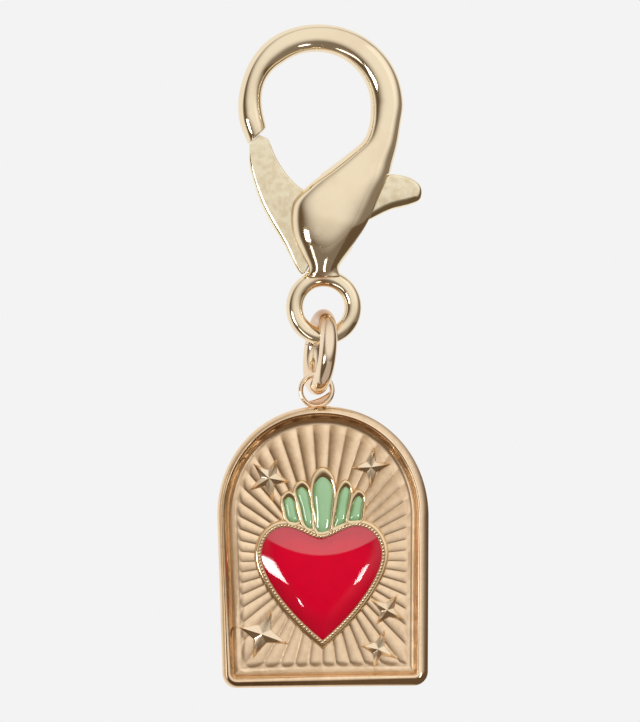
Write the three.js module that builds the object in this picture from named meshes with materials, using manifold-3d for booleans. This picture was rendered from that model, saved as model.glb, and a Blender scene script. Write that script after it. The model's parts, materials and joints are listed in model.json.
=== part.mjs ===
// Enamel heart charm: a lobster claw clasp, a jump ring and an arched medal with a flaming heart.
// Millimetres, +Z up, the front towards -Y. The charm hangs, and the origin is the top of the
// hook's opening, where the hook bears on the strap or ring that carries it.

import * as THREE from 'three';
import { mergeVertices } from 'three/addons/utils/BufferGeometryUtils.js';
import Module from 'manifold-3d';

// Hook of the clasp: round inside, with a wire that thickens over its shoulder and again at the body
const HOOK_OPENING = 13.12;
const HOOK_WIRE_AT_NOSE = 2.8;
const HOOK_WIRE_AT_TOP = 3.35;
const HOOK_WIRE_AT_BODY = 3.78;
const HOOK_DEPTH = 3.3;
const HOOK_SQUARENESS = 2.15;
const NOSE_DEPTH = 2.9;

// Domed body of the clasp and the slot that the lever lies in
const BODY_DEPTH = 6.1;
const BODY_SQUARENESS = 2.5;
const TIP_DEPTH = 3.2;
const LEVER_THICKNESS = 2.4;
const SLOT_SIDE_GAP = 0.12;
const SLOT_EDGE_GAP = 0.15;
const NOSE_GAP = 0.2;

// Lever, its rivet and its spring
const LEVER_OPENS = 28;
const LEVER_EDGE = 0.18;
const HEEL_RADIUS = 3.24;
const RIVET_DIAMETER = 1.3;
const RIVET_SEAT_GAP = 0.05;
const RIVET_RUNNING_GAP = 0.1;
const SPRING_WIRE = 0.3;
const SPRING_DIAMETER = 2.6;
const SPRING_TURNS = 2.5;
const SPRING_PITCH = 0.42;
const SPRING_LEG = 2.7;
const SPRING_GAP = 0.12;

// Eye of the clasp, the jump ring and the bail of the medal, each as outer diameter and wire
const EYE_DIAMETER = 9.0;
const EYE_WIRE = 2.0;
const LINK_DIAMETER = 10.4;
const LINK_WIRE = 2.1;
const LINK_TURN = 13;
const LINK_LEAN = 6;
const LINK_GAP = 0.2;
const BAIL_DIAMETER = 4.4;
const BAIL_WIRE = 0.62;
const BAIL_GAP = 0.08;
const BAIL_SINK = 0.28;

// Medal: a slightly pointed arch over nearly straight sides, with a rolled rim round a thinner plate
const MEDAL_WIDTH = 25.3;
const MEDAL_FOOT_WIDTH = 24.6;
const MEDAL_SIDE_HEIGHT = 20.95;
const MEDAL_ARCH_DROP = 0.6;
const MEDAL_CORNER = 1.7;
const MEDAL_TILT = 0.8;
const RIM_DEPTH = 2.6;
const RIM_BEAD = 1.4;
const RIM_SHOULDER = 1.9;
const RIM_COVE = 0.85;
const PLATE_DEPTH = 1.2;
const BACK_TO_HINGE = 0.82;

// Sunburst on the plate
const RAYS = 49;
const RAY_FIRST = 85.8;
const RAY_DEPTH = 0.22;
const SUN_CENTRE = [-0.19, -5.69];

// Stars, raised on the plate
const STAR_HEIGHT = 0.65;
const STAR_TIP_HEIGHT = 0.2;
const STAR_WAIST = 0.33;

// Heart with its beaded bezel, and the flames in their cells
const HEART_CENTRE = [-0.24, -5.09];
const HEART_HALF_WIDTH = 7.26;
const BEZEL_WIDTH = 0.82;
const BEZEL_HEIGHT = 0.68;
const BEZEL_WALL = 0.5;
const BEAD_PITCH = 0.48;
const BEAD_HEIGHT = 0.14;
const HEART_DOME = 0.95;
const FLAME_WALL = 0.42;
const FLAME_HEIGHT = 0.52;
const FLAME_DOME = 0.2;
const CELL_DEPTH = 0.25;
const ENAMEL_GAP = 0.05;

const wasm = await Module();
wasm.setup();

const degrees = THREE.MathUtils.degToRad;

// Turn a closed geometry into a solid that can be joined and cut
function solidOf(geometry) {
  const bare = geometry.clone();
  bare.deleteAttribute('normal');
  bare.deleteAttribute('uv');
  const merged = mergeVertices(bare, 1e-5);
  const vertProperties = Float32Array.from(merged.attributes.position.array);
  const triVerts = Uint32Array.from(merged.index.array);
  return new wasm.Manifold(new wasm.Mesh({ numProp: 3, vertProperties, triVerts }));
}

// Turn a solid back into a geometry
function geometryOf(solid) {
  const { numProp, vertProperties, triVerts } = solid.getMesh();
  const geometry = new THREE.BufferGeometry();
  const positions = new Float32Array((vertProperties.length / numProp) * 3);
  for (let i = 0; i < positions.length / 3; i += 1) {
    positions.set(vertProperties.slice(i * numProp, i * numProp + 3), i * 3);
  }
  geometry.setAttribute('position', new THREE.BufferAttribute(positions, 3));
  geometry.setIndex(Array.from(triVerts));
  geometry.computeVertexNormals();
  return geometry;
}

function joined(solids) {
  return solids.reduce((whole, solid) => whole.add(solid));
}

// Skin a row of rings with equally many points; the row ends in flat caps or closes on itself
function skin(rings, closesOnItself) {
  const count = rings[0].length;
  const points = rings.flat();
  const faces = [];
  const rows = closesOnItself ? rings.length : rings.length - 1;
  for (let row = 0; row < rows; row += 1) {
    const here = row * count;
    const there = ((row + 1) % rings.length) * count;
    for (let i = 0; i < count; i += 1) {
      const next = (i + 1) % count;
      faces.push(here + i, here + next, there + next);
      faces.push(here + i, there + next, there + i);
    }
  }
  if (!closesOnItself) {
    addFan(points, faces, rings[0], 0, true);
    addFan(points, faces, rings.at(-1), (rings.length - 1) * count, false);
  }
  const geometry = new THREE.BufferGeometry();
  geometry.setFromPoints(points);
  geometry.setIndex(faces);
  return geometry;
}

// Close a ring with triangles from its middle
function addFan(points, faces, ring, first, reversed) {
  const middle = new THREE.Vector3();
  ring.forEach((point) => middle.addScaledVector(point, 1 / ring.length));
  const centre = points.length;
  points.push(middle);
  for (let i = 0; i < ring.length; i += 1) {
    const next = (i + 1) % ring.length;
    if (reversed) {
      faces.push(centre, first + next, first + i);
    } else {
      faces.push(centre, first + i, first + next);
    }
  }
}

// A ring of wire in the plane that faces the front
function wireRing(diameter, wire, steps, sides) {
  const ring = new THREE.TorusGeometry((diameter - wire) / 2, wire / 2, sides, steps);
  ring.rotateX(Math.PI / 2);
  return ring;
}

// A round bar along Y between two depths
function roundBar(diameter, front, back, x, z, sides) {
  const bar = new THREE.CylinderGeometry(diameter / 2, diameter / 2, back - front, sides);
  bar.translate(x, (front + back) / 2, z);
  return bar;
}

// A flat outline, given as x and z, as a plate between two depths, with its edges broken if asked
function plate(outline, front, back, edge = 0) {
  const counterClockwise = THREE.ShapeUtils.isClockWise(outline) ? [...outline].reverse() : outline;
  const inner = edge > 0 ? offset(counterClockwise, -edge) : counterClockwise;
  const layer = (line, depth) => line.map((point) => new THREE.Vector3(point.x, depth, point.y));
  const sides = [layer(counterClockwise, front + edge), layer(counterClockwise, back - edge)];
  const layers = edge > 0 ? [layer(inner, front), ...sides, layer(inner, back)] : sides;
  const count = inner.length;
  const faces = [];
  for (let row = 0; row + 1 < layers.length; row += 1) {
    for (let i = 0; i < count; i += 1) {
      const next = (i + 1) % count;
      faces.push(row * count + i, (row + 1) * count + i, (row + 1) * count + next);
      faces.push(row * count + i, (row + 1) * count + next, row * count + next);
    }
  }
  const last = (layers.length - 1) * count;
  THREE.ShapeUtils.triangulateShape(counterClockwise, []).forEach(([a, b, c]) => {
    faces.push(a, b, c);
    faces.push(last + a, last + c, last + b);
  });
  const geometry = new THREE.BufferGeometry();
  geometry.setFromPoints(layers.flat());
  geometry.setIndex(faces);
  return geometry;
}

function curveThrough(points, closed) {
  const places = points.map(([x, z]) => new THREE.Vector3(x, z, 0));
  return new THREE.CatmullRomCurve3(places, closed, 'centripetal');
}

// A smooth line through a few points
function smoothLine(points, steps) {
  return curveThrough(points, false).getPoints(Math.round(steps)).map(({ x, y }) => new THREE.Vector2(x, y));
}

// A closed smooth line through a few points
function smoothLoop(points, steps) {
  const line = curveThrough(points, true).getSpacedPoints(steps).slice(0, steps);
  return line.map(({ x, y }) => new THREE.Vector2(x, y));
}

// Move a closed outline outwards by a distance; a negative distance moves it inwards
function offset(outline, distance) {
  const turn = THREE.ShapeUtils.isClockWise(outline) ? -1 : 1;
  return outline.map((point, i) => {
    const before = outline[(i + outline.length - 1) % outline.length];
    const after = outline[(i + 1) % outline.length];
    const into = point.clone().sub(before).normalize();
    const out = after.clone().sub(point).normalize();
    const along = into.clone().add(out).normalize();
    const stretch = distance / Math.max(0.6, along.dot(out));
    return new THREE.Vector2(point.x + along.y * turn * stretch, point.y - along.x * turn * stretch);
  });
}

function arc(centre, radius, from, to, steps) {
  return Array.from({ length: steps + 1 }, (_, i) => {
    const angle = degrees(from + ((to - from) * i) / steps);
    return new THREE.Vector2(centre[0] + radius * Math.cos(angle), centre[1] + radius * Math.sin(angle));
  });
}

// Places on the clasp that several pieces share
const hookRadius = HOOK_OPENING / 2;
const hookCentre = [0, -hookRadius];
const pivot = [hookCentre[0] + 0.24, hookCentre[1] - 14.98];
const eyeCentre = [hookCentre[0] + 0.92, hookCentre[1] - 24.08];
const noseInner = [hookCentre[0] - hookRadius + 0.44, hookCentre[1] - 2.34];
const noseOuter = [hookCentre[0] - hookRadius - 1.24, hookCentre[1] - 4.42];

// The hook's wire swells over the far shoulder, and again where it runs into the body
function hookWire(angle) {
  const shoulder = 1 - THREE.MathUtils.smoothstep(angle, 118, 160);
  const root = 1 - THREE.MathUtils.smoothstep(angle, 32, 68);
  return HOOK_WIRE_AT_NOSE
    + (HOOK_WIRE_AT_TOP - HOOK_WIRE_AT_NOSE) * shoulder
    + (HOOK_WIRE_AT_BODY - HOOK_WIRE_AT_TOP) * root;
}

// The edges of the hook at an angle from the middle of its opening
function hookStation(angle) {
  const across = Math.cos(degrees(angle));
  const up = Math.sin(degrees(angle));
  const outerRadius = hookRadius + hookWire(angle);
  return {
    inner: [hookCentre[0] + hookRadius * across, hookCentre[1] + hookRadius * up],
    outer: [hookCentre[0] + outerRadius * across, hookCentre[1] + outerRadius * up],
    depth: HOOK_DEPTH,
  };
}

// The left and right edges of the domed body, from the hook down to the tip over the eye
function bodyStations() {
  const swell = BODY_DEPTH - HOOK_DEPTH;
  const rows = [
    [6.4, -2.08, 10.1, -2.08, HOOK_DEPTH + 0.08 * swell],
    [5.7, -3.95, 9.7, -4.6, HOOK_DEPTH + 0.25 * swell],
    [4.0, -5.46, 9.22, -6.76, HOOK_DEPTH + 0.5 * swell],
    [1.66, -7.3, 8.72, -8.8, HOOK_DEPTH + 0.75 * swell],
    [-0.78, -9.1, 7.68, -11.08, HOOK_DEPTH + 0.93 * swell],
    [-2.88, -11.32, 6.48, -13.36, BODY_DEPTH],
    [-3.24, -13.0, 5.44, -15.04, BODY_DEPTH],
    [-3.0, -15.4, 4.08, -17.08, HOOK_DEPTH + 0.85 * swell],
    [-2.04, -17.68, 2.88, -18.76, HOOK_DEPTH + 0.5 * swell],
    [-0.84, -20.08, 2.04, -20.08, TIP_DEPTH],
  ];
  return rows.map(([left, leftZ, right, rightZ, depth]) => ({
    inner: [hookCentre[0] + left, hookCentre[1] + leftZ],
    outer: [hookCentre[0] + right, hookCentre[1] + rightZ],
    depth,
  }));
}

// Hook and body are one sweep of rounded sections from the nose to the tip
function claspSweep() {
  const ringSides = 16;
  const stepsPerStation = 2;
  const hookStart = 192;
  const hookParts = 10;
  const noseStation = { inner: noseInner, outer: noseOuter, depth: NOSE_DEPTH };
  const hook = Array.from({ length: hookParts + 1 }, (_, i) => hookStation(hookStart * (1 - i / hookParts)));
  const stations = [noseStation, ...hook, ...bodyStations()];
  const edge = (side) => new THREE.CatmullRomCurve3(
    stations.map((station) => new THREE.Vector3(station[side][0], station.depth / 2, station[side][1])),
    false,
    'centripetal',
  );
  const inner = edge('inner');
  const outer = edge('outer');
  const steps = (stations.length - 1) * stepsPerStation;
  const rings = Array.from({ length: steps + 1 }, (_, i) => {
    const from = inner.getPoint(i / steps);
    const to = outer.getPoint(i / steps);
    return roundedSection(from, to, from.y, ringSides);
  });
  return skin(rings, false);
}

// A section a little squarer than an ellipse, between two edge points; the deeper body is squarer still
function roundedSection(from, to, halfDepth, sides) {
  const swell = THREE.MathUtils.clamp((2 * halfDepth - HOOK_DEPTH) / (BODY_DEPTH - HOOK_DEPTH), 0, 1);
  const power = 2 / THREE.MathUtils.lerp(HOOK_SQUARENESS, BODY_SQUARENESS, swell);
  return Array.from({ length: sides }, (_, i) => {
    const angle = (2 * Math.PI * i) / sides;
    const across = Math.sign(Math.cos(angle)) * Math.abs(Math.cos(angle)) ** power;
    const deep = Math.sign(Math.sin(angle)) * Math.abs(Math.sin(angle)) ** power;
    const share = (1 - across) / 2;
    return new THREE.Vector3(
      THREE.MathUtils.lerp(from.x, to.x, share),
      deep * halfDepth,
      THREE.MathUtils.lerp(from.z, to.z, share),
    );
  });
}

// The lever's outline round its pivot: gate tip, inner edge, thumb tab, round heel, tail, outer edge
function leverOutline(detail = 1) {
  const face = new THREE.Vector2(noseOuter[0] - noseInner[0], noseOuter[1] - noseInner[1]);
  const away = new THREE.Vector2(-face.y, face.x).normalize().multiplyScalar(NOSE_GAP);
  const onFace = (share) => new THREE.Vector2(
    noseInner[0] + face.x * share + away.x - pivot[0],
    noseInner[1] + face.y * share + away.y - pivot[1],
  );
  const upperEdge = smoothLine([
    [-6.2, 11.0],
    [-4.56, 8.04],
    [-2.16, 5.28],
    [0.96, 4.14],
    [4.5, 4.8],
    [8.52, 6.78],
    [10.1, 6.7],
    [11.4, 6.22],
    [12.2, 5.55],
    [12.46, 4.75],
    [12.1, 3.85],
    [11.0, 3.3],
    [8.7, 2.74],
    [6.3, 1.42],
    [4.08, 0.2],
    [HEEL_RADIUS, -0.7],
  ], 39 * detail);
  const heel = arc([0, 0], HEEL_RADIUS, -14, -100, 8 * detail);
  const outerEdge = smoothLine([
    [-1.7, -4.6],
    [-2.35, -4.6],
    [-4.1, -1.58],
    [-5.7, 1.06],
    [-6.95, 3.54],
    [-7.75, 5.99],
    [-8.26, 8.27],
    [-8.22, 9.7],
  ], 21 * detail);
  return [onFace(0.5), ...upperEdge, ...heel, ...outerEdge, onFace(0.96)];
}

// The space that the lever sweeps through the body, below the nose
function leverSlot() {
  const steps = 4;
  const half = LEVER_THICKNESS / 2 + SLOT_SIDE_GAP;
  const swept = offset(leverOutline(0.5), SLOT_EDGE_GAP);
  const copies = Array.from({ length: steps + 1 }, (_, i) => {
    const copy = plate(swept, -half, half);
    copy.rotateY(degrees((LEVER_OPENS * i) / steps));
    copy.translate(pivot[0], 0, pivot[1]);
    return solidOf(copy);
  });
  const lap = 1;
  const tall = 30;
  const belowNose = new THREE.BoxGeometry(3 * HOOK_OPENING, 2 * BODY_DEPTH, tall);
  belowNose.translate(0, 0, noseOuter[1] - lap - tall / 2);
  return joined(copies).intersect(solidOf(belowNose));
}

// The spring's leg points along the gate, and the coil winds on from there to its other end
function springAngle(turns) {
  return degrees(112 - 360 * turns);
}

// Where the spring's bent end enters the front cheek
function springSocketPlace() {
  const angle = springAngle(SPRING_TURNS);
  const radius = (SPRING_DIAMETER - SPRING_WIRE) / 2;
  return [pivot[0] + radius * Math.cos(angle), pivot[1] + radius * Math.sin(angle)];
}

function claspBody() {
  const eye = wireRing(EYE_DIAMETER, EYE_WIRE, 32, 10);
  eye.translate(eyeCentre[0], 0, eyeCentre[1]);
  const rivetHole = roundBar(
    RIVET_DIAMETER + 2 * RIVET_SEAT_GAP, -BODY_DEPTH, BODY_DEPTH, pivot[0], pivot[1], 16,
  );
  const socket = springSocketPlace();
  const socketDepth = 1;
  const socketHole = roundBar(
    SPRING_WIRE + 2 * SPRING_GAP,
    -LEVER_THICKNESS / 2 - socketDepth,
    -LEVER_THICKNESS / 2,
    socket[0],
    socket[1],
    8,
  );
  const solid = joined([solidOf(claspSweep()), solidOf(eye)])
    .subtract(leverSlot())
    .subtract(solidOf(rivetHole))
    .subtract(solidOf(socketHole));
  return geometryOf(solid);
}

// A round pocket for the coil, with a window for its leg that is as wide as the lever's swing
function springPocket() {
  const radius = SPRING_DIAMETER / 2 + SPRING_GAP;
  const front = -LEVER_THICKNESS;
  const back = pocketFloor();
  const round = roundBar(2 * radius, front, back, 0, 0, 24);
  const leg = THREE.MathUtils.radToDeg(springAngle(0));
  const spare = 12;
  const window = [
    new THREE.Vector2(0, 0),
    ...arc([0, 0], SPRING_LEG + SPRING_GAP, leg - spare, leg + LEVER_OPENS + spare, 6),
  ];
  return solidOf(round).add(solidOf(plate(window, front, back)));
}

function pocketFloor() {
  return -LEVER_THICKNESS / 2 + SPRING_TURNS * SPRING_PITCH + SPRING_WIRE + 2 * SPRING_GAP;
}

function claspLever() {
  const blank = plate(leverOutline(), -LEVER_THICKNESS / 2, LEVER_THICKNESS / 2, LEVER_EDGE);
  const hole = roundBar(RIVET_DIAMETER + 2 * RIVET_RUNNING_GAP, -LEVER_THICKNESS, LEVER_THICKNESS, 0, 0, 20);
  return geometryOf(solidOf(blank).subtract(springPocket()).subtract(solidOf(hole)));
}

// The rivet ends just under the domed faces of the two cheeks
function leverPin() {
  const headDrop = 0.12;
  return roundBar(RIVET_DIAMETER, -BODY_DEPTH / 2 + headDrop, BODY_DEPTH / 2 - headDrop, 0, 0, 16);
}

// A torsion spring: a leg along the pocket's floor, the coil, and an end bent into the front cheek
function leverSpring() {
  const radius = (SPRING_DIAMETER - SPRING_WIRE) / 2;
  const deepest = pocketFloor() - SPRING_GAP - SPRING_WIRE / 2;
  const legAngle = springAngle(0);
  const points = [];
  for (let i = 0; i < 4; i += 1) {
    const reach = THREE.MathUtils.lerp(SPRING_LEG - SPRING_GAP, radius + SPRING_WIRE, i / 3);
    points.push(new THREE.Vector3(reach * Math.cos(legAngle), deepest, reach * Math.sin(legAngle)));
  }
  const turnSteps = 10;
  const steps = SPRING_TURNS * turnSteps;
  for (let i = 1; i <= steps; i += 1) {
    const angle = springAngle((SPRING_TURNS * i) / steps);
    const depth = deepest - (SPRING_TURNS * SPRING_PITCH * i) / steps;
    points.push(new THREE.Vector3(radius * Math.cos(angle), depth, radius * Math.sin(angle)));
  }
  const last = points.at(-1);
  for (let i = 1; i <= 3; i += 1) {
    points.push(new THREE.Vector3(last.x, last.y - SPRING_WIRE * i, last.z));
  }
  const section = new THREE.Shape(arc([0, 0], SPRING_WIRE / 2, 0, 288, 4));
  return new THREE.ExtrudeGeometry(section, {
    steps: 60,
    extrudePath: new THREE.CatmullRomCurve3(points, false, 'centripetal'),
  });
}

// The chain below the eye: each ring rests in the one above it, and the link leans a little
const linkRadius = (LINK_DIAMETER - LINK_WIRE) / 2;
const eyeFloor = eyeCentre[1] - EYE_DIAMETER / 2 + EYE_WIRE;
const linkTop = [eyeCentre[0], eyeFloor + LINK_GAP + LINK_WIRE / 2];
const linkCentre = alongLink(linkRadius);
const linkBottom = alongLink(2 * linkRadius);
const bailReach = BAIL_DIAMETER / 2 - BAIL_WIRE - LINK_WIRE / 2 - BAIL_GAP;
const medalShift = 0.78;
const bailCentre = [linkBottom[0], linkBottom[1] - bailReach];
const archRadius = MEDAL_WIDTH / 2;
const medalCentre = [bailCentre[0] + medalShift, bailCentre[1] - BAIL_DIAMETER / 2 + BAIL_SINK - archRadius];

// A place down the leaning link from its top
function alongLink(distance) {
  const lean = degrees(LINK_LEAN);
  return [linkTop[0] - distance * Math.sin(lean), linkTop[1] - distance * Math.cos(lean)];
}

// Heights over the medal's back become depths in front of it
function depthAt(height) {
  return BACK_TO_HINGE - height;
}

// The medal's outline, moved inwards by an inset, always with the same number of points: half an
// ellipse over nearly straight sides
function archOutline(inset) {
  const corner = Math.max(0.12, MEDAL_CORNER - inset);
  const foot = MEDAL_FOOT_WIDTH / 2 - inset - corner;
  const footZ = -MEDAL_SIDE_HEIGHT + inset + corner;
  const high = archRadius + MEDAL_ARCH_DROP - inset;
  const stretched = arc([0, 0], 1, 0, 180, 34)
    .map(({ x, y }) => new THREE.Vector2((archRadius - inset) * x, high * y - MEDAL_ARCH_DROP));
  return [
    ...stretched,
    ...arc([-foot, footZ], corner, 180, 270, 4),
    ...arc([foot, footZ], corner, 270, 360, 4),
  ];
}

// The rim's section runs from the back round the outer wall and the bead into the cove
function rimProfile() {
  const profile = [[0.2, 0], [0, 0.2], [0, RIM_SHOULDER]];
  const beadSteps = 5;
  for (let i = 1; i <= beadSteps; i += 1) {
    const angle = (Math.PI * i) / beadSteps;
    const inset = (RIM_BEAD / 2) * (1 - Math.cos(angle));
    profile.push([inset, RIM_SHOULDER + (RIM_DEPTH - RIM_SHOULDER) * Math.sin(angle)]);
  }
  const coveSteps = 3;
  for (let i = 1; i <= coveSteps; i += 1) {
    const angle = (Math.PI / 2) * (i / coveSteps);
    const drop = RIM_SHOULDER - PLATE_DEPTH + RAY_DEPTH;
    profile.push([RIM_BEAD + RIM_COVE * (1 - Math.cos(angle)), RIM_SHOULDER - drop * Math.sin(angle)]);
  }
  profile.push([RIM_BEAD + RIM_COVE, 0]);
  return profile;
}

function medalRim() {
  const rings = rimProfile().map(([inset, height]) => archOutline(inset)
    .map((point) => new THREE.Vector3(point.x, depthAt(height), point.y)));
  return skin(rings, true);
}

// How far a ray from the sun's centre runs before it meets the arch, a side or the foot
function rayLength(angle, inset) {
  const [x, z] = SUN_CENTRE;
  const across = Math.cos(angle);
  const up = Math.sin(angle);
  const wide = archRadius - inset;
  const high = wide + MEDAL_ARCH_DROP;
  const [flatX, flatZ] = [x / wide, (z + MEDAL_ARCH_DROP) / high];
  const [flatAcross, flatUp] = [across / wide, up / high];
  const square = flatAcross ** 2 + flatUp ** 2;
  const half = (flatX * flatAcross + flatZ * flatUp) / square;
  const toArch = -half + Math.sqrt(half ** 2 - (flatX ** 2 + flatZ ** 2 - 1) / square);
  if (z + toArch * up >= -MEDAL_ARCH_DROP) {
    return toArch;
  }
  const lean = (MEDAL_WIDTH - MEDAL_FOOT_WIDTH) / 2 / (MEDAL_SIDE_HEIGHT - MEDAL_ARCH_DROP);
  const sign = Math.sign(across);
  const toSide = (wide + lean * (z + MEDAL_ARCH_DROP) - sign * x) / (sign * across - lean * up);
  const toFoot = (-MEDAL_SIDE_HEIGHT + inset - z) / up;
  const reaches = [toSide, toFoot].filter((reach) => reach > 0);
  return Math.min(...reaches);
}

// The plate with the sunburst: broad rays parted by narrow grooves that deepen outwards
function medalPlate() {
  const phases = [0, 0.2, 0.5, 0.8];
  const count = RAYS * phases.length;
  const hub = 3.4;
  const under = RIM_BEAD + 0.55 * RIM_COVE;
  const ring = (height, length) => Array.from({ length: count }, (_, i) => {
    const phase = phases[i % phases.length];
    const ray = Math.floor(i / phases.length) + phase;
    const angle = degrees(RAY_FIRST) - (2 * Math.PI * ray) / RAYS;
    const groove = 1 - Math.sqrt(Math.sin(Math.PI * phase));
    const reach = length(angle);
    return new THREE.Vector3(
      SUN_CENTRE[0] + reach * Math.cos(angle),
      depthAt(height(groove)),
      SUN_CENTRE[1] + reach * Math.sin(angle),
    );
  });
  const toRim = (angle) => rayLength(angle, under);
  const inside = () => hub;
  const full = (groove) => PLATE_DEPTH - RAY_DEPTH * groove;
  const shallow = (groove) => PLATE_DEPTH - 0.35 * RAY_DEPTH * groove;
  const flat = () => 0;
  return skin([ring(shallow, inside), ring(full, toRim), ring(flat, toRim), ring(flat, inside)], false);
}

// Each star: where it lies, and the angle and length of each arm
const STARS = [
  { at: [-6.41, 4.12], arms: [[66, 2.74], [136, 2.64], [211, 2.96], [278, 3.03], [349, 2.68]] },
  { at: [5.85, 5.27], arms: [[81, 2.55], [182, 2.41], [269, 2.52], [368, 2.42]] },
  { at: [-7.51, -14.58], arms: [[67, 3.23], [162, 3.27], [249, 3.19], [339, 3.45]] },
  { at: [7.53, -11.91], arms: [[55, 2.32], [147, 2.27], [233, 2.24], [330, 2.47]] },
  { at: [6.38, -16.58], arms: [[70, 2.54], [167, 2.21], [257, 2.33], [334, 2.53]] },
];

// A star is a pyramid with a crease along each arm and a notch between two arms
function star({ at, arms }) {
  const foot = PLATE_DEPTH - 2 * RAY_DEPTH;
  const place = (angle, reach, height) => new THREE.Vector3(
    at[0] + reach * Math.cos(degrees(angle)),
    depthAt(height),
    at[1] + reach * Math.sin(degrees(angle)),
  );
  const top = [];
  arms.forEach(([angle, reach], i) => {
    const [nextAngle, nextReach] = arms[(i + 1) % arms.length];
    const turned = nextAngle > angle ? nextAngle : nextAngle + 360;
    const waist = STAR_WAIST * Math.min(reach, nextReach);
    top.push(place(angle, reach, PLATE_DEPTH + STAR_TIP_HEIGHT));
    top.push(place((angle + turned) / 2, waist, PLATE_DEPTH));
  });
  const bottom = top.map((point) => new THREE.Vector3(point.x, depthAt(foot), point.z));
  const points = [...bottom, ...top, place(0, 0, PLATE_DEPTH + STAR_HEIGHT), place(0, 0, foot)];
  const faces = [];
  const count = top.length;
  for (let i = 0; i < count; i += 1) {
    const next = (i + 1) % count;
    faces.push(i, next, count + next, i, count + next, count + i);
    faces.push(2 * count, count + i, count + next);
    faces.push(2 * count + 1, next, i);
  }
  const geometry = new THREE.BufferGeometry();
  geometry.setFromPoints(points);
  geometry.setIndex(faces);
  return geometry;
}

// The heart of the enamel: four curves from the cleft over the lobes to the tip
function heartOutline(steps) {
  const [x, z] = HEART_CENTRE;
  const wide = HEART_HALF_WIDTH;
  const half = (side) => {
    const at = (share, height) => new THREE.Vector2(x + side * share * wide, z + height);
    const path = new THREE.CurvePath();
    path.add(new THREE.CubicBezierCurve(at(0, 1.98), at(0.17, 1.98), at(0.36, 3.36), at(0.6, 3.36)));
    path.add(new THREE.CubicBezierCurve(at(0.6, 3.36), at(0.84, 3.36), at(1, 1.68), at(1, 0)));
    path.add(new THREE.CubicBezierCurve(at(1, 0), at(1, -2.88), at(0.5, -7.44), at(0, -10.32)));
    return path.getSpacedPoints(steps);
  };
  const right = half(1);
  const left = half(-1).reverse();
  return [...right.slice(0, -1), ...left.slice(0, -1)];
}

// The bezel: a wall round the enamel, a row of tiny beads on it and a bevel down to the plate
function heartBezel() {
  const rough = heartOutline(60);
  const perimeter = rough.reduce((sum, point, i) => sum + point.distanceTo(rough[(i + 1) % rough.length]), 0);
  const outline = heartOutline(Math.round(perimeter / BEAD_PITCH));
  const top = PLATE_DEPTH + BEZEL_HEIGHT;
  const toe = PLATE_DEPTH + 0.3 * BEZEL_HEIGHT;
  const foot = PLATE_DEPTH - 2 * RAY_DEPTH;
  const profile = [
    [0, foot, 0],
    [0, top - BEAD_HEIGHT, 0],
    [0.4 * BEZEL_WALL, top - BEAD_HEIGHT, BEAD_HEIGHT],
    [BEZEL_WALL, top - BEAD_HEIGHT, 0],
    [BEZEL_WIDTH, toe, 0],
    [BEZEL_WIDTH, foot, 0],
  ];
  const rings = profile.map(([reach, height, bead]) => offset(outline, reach).map((point, i) => {
    const lift = i % 2 === 0 ? bead : 0;
    return new THREE.Vector3(point.x, depthAt(height + lift), point.y);
  }));
  return skin(rings, true);
}

// Each flame: the outline of its enamel, from the top round to the right
const FLAMES = {
  flame_centre: [[0.02, 4.33], [0.95, 3.7], [1.31, 2.4], [1.1, 0], [0.78, -2.0], [-0.1, -3.0],
    [-0.9, -2.0], [-1.05, 0], [-1.2, 2.4], [-0.85, 3.7]],
  flame_left_inner: [[-2.5, 3.12], [-1.8, 2.55], [-1.4, 0.7], [-1.08, -1.3], [-1.5, -2.1], [-2.2, -1.6],
    [-2.75, 0.6], [-3.2, 2.5]],
  flame_left_outer: [[-4.1, 1.95], [-3.45, 1.5], [-3.1, -0.1], [-2.9, -1.1], [-3.7, -1.35], [-4.3, -0.9],
    [-4.6, 0.3], [-4.75, 1.35]],
  flame_right_inner: [[2.75, 3.1], [3.3, 2.6], [3.05, 0.7], [2.7, -1.2], [2.0, -1.75], [1.3, -2.0],
    [1.6, 0.4], [2.1, 2.45]],
  flame_right_outer: [[4.3, 1.95], [4.85, 1.5], [4.75, 0.3], [4.5, -1.0], [3.8, -1.3], [3.05, -1.1],
    [3.35, 0.3], [3.7, 1.4]],
};
const FLAME_STEPS = 20;
const FLAME_LIP = 0.16;

// The heart with its bezel wall as a block, which the cells of the flames stop at
function heartBlock(reach) {
  return solidOf(plate(offset(heartOutline(24), reach), depthAt(RIM_DEPTH + 2), depthAt(-1)));
}

function flameCell(points) {
  const outline = smoothLoop(points, FLAME_STEPS);
  const cell = plate(outline, depthAt(RIM_DEPTH + 2), depthAt(PLATE_DEPTH - CELL_DEPTH));
  return solidOf(cell).subtract(heartBlock(BEZEL_WALL));
}

function flameWall(points) {
  const outline = offset(smoothLoop(points, FLAME_STEPS), FLAME_WALL);
  const top = depthAt(PLATE_DEPTH + FLAME_HEIGHT);
  return solidOf(plate(outline, top, depthAt(PLATE_DEPTH - 2 * RAY_DEPTH)));
}

// The notch in the top of the rim that the bail is soldered into
function bailSeat() {
  const ring = wireRing(BAIL_DIAMETER + 2 * BAIL_GAP, BAIL_WIRE + 2 * BAIL_GAP, 30, 8);
  const [x, z] = inMedal(bailCentre);
  ring.translate(x, 0, z);
  return solidOf(ring);
}

// A place on the charm in the medal's own tilted frame
function inMedal([x, z]) {
  const turn = degrees(MEDAL_TILT);
  const dx = x - medalCentre[0];
  const dz = z - medalCentre[1];
  return [dx * Math.cos(turn) + dz * Math.sin(turn), dz * Math.cos(turn) - dx * Math.sin(turn)];
}

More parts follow.
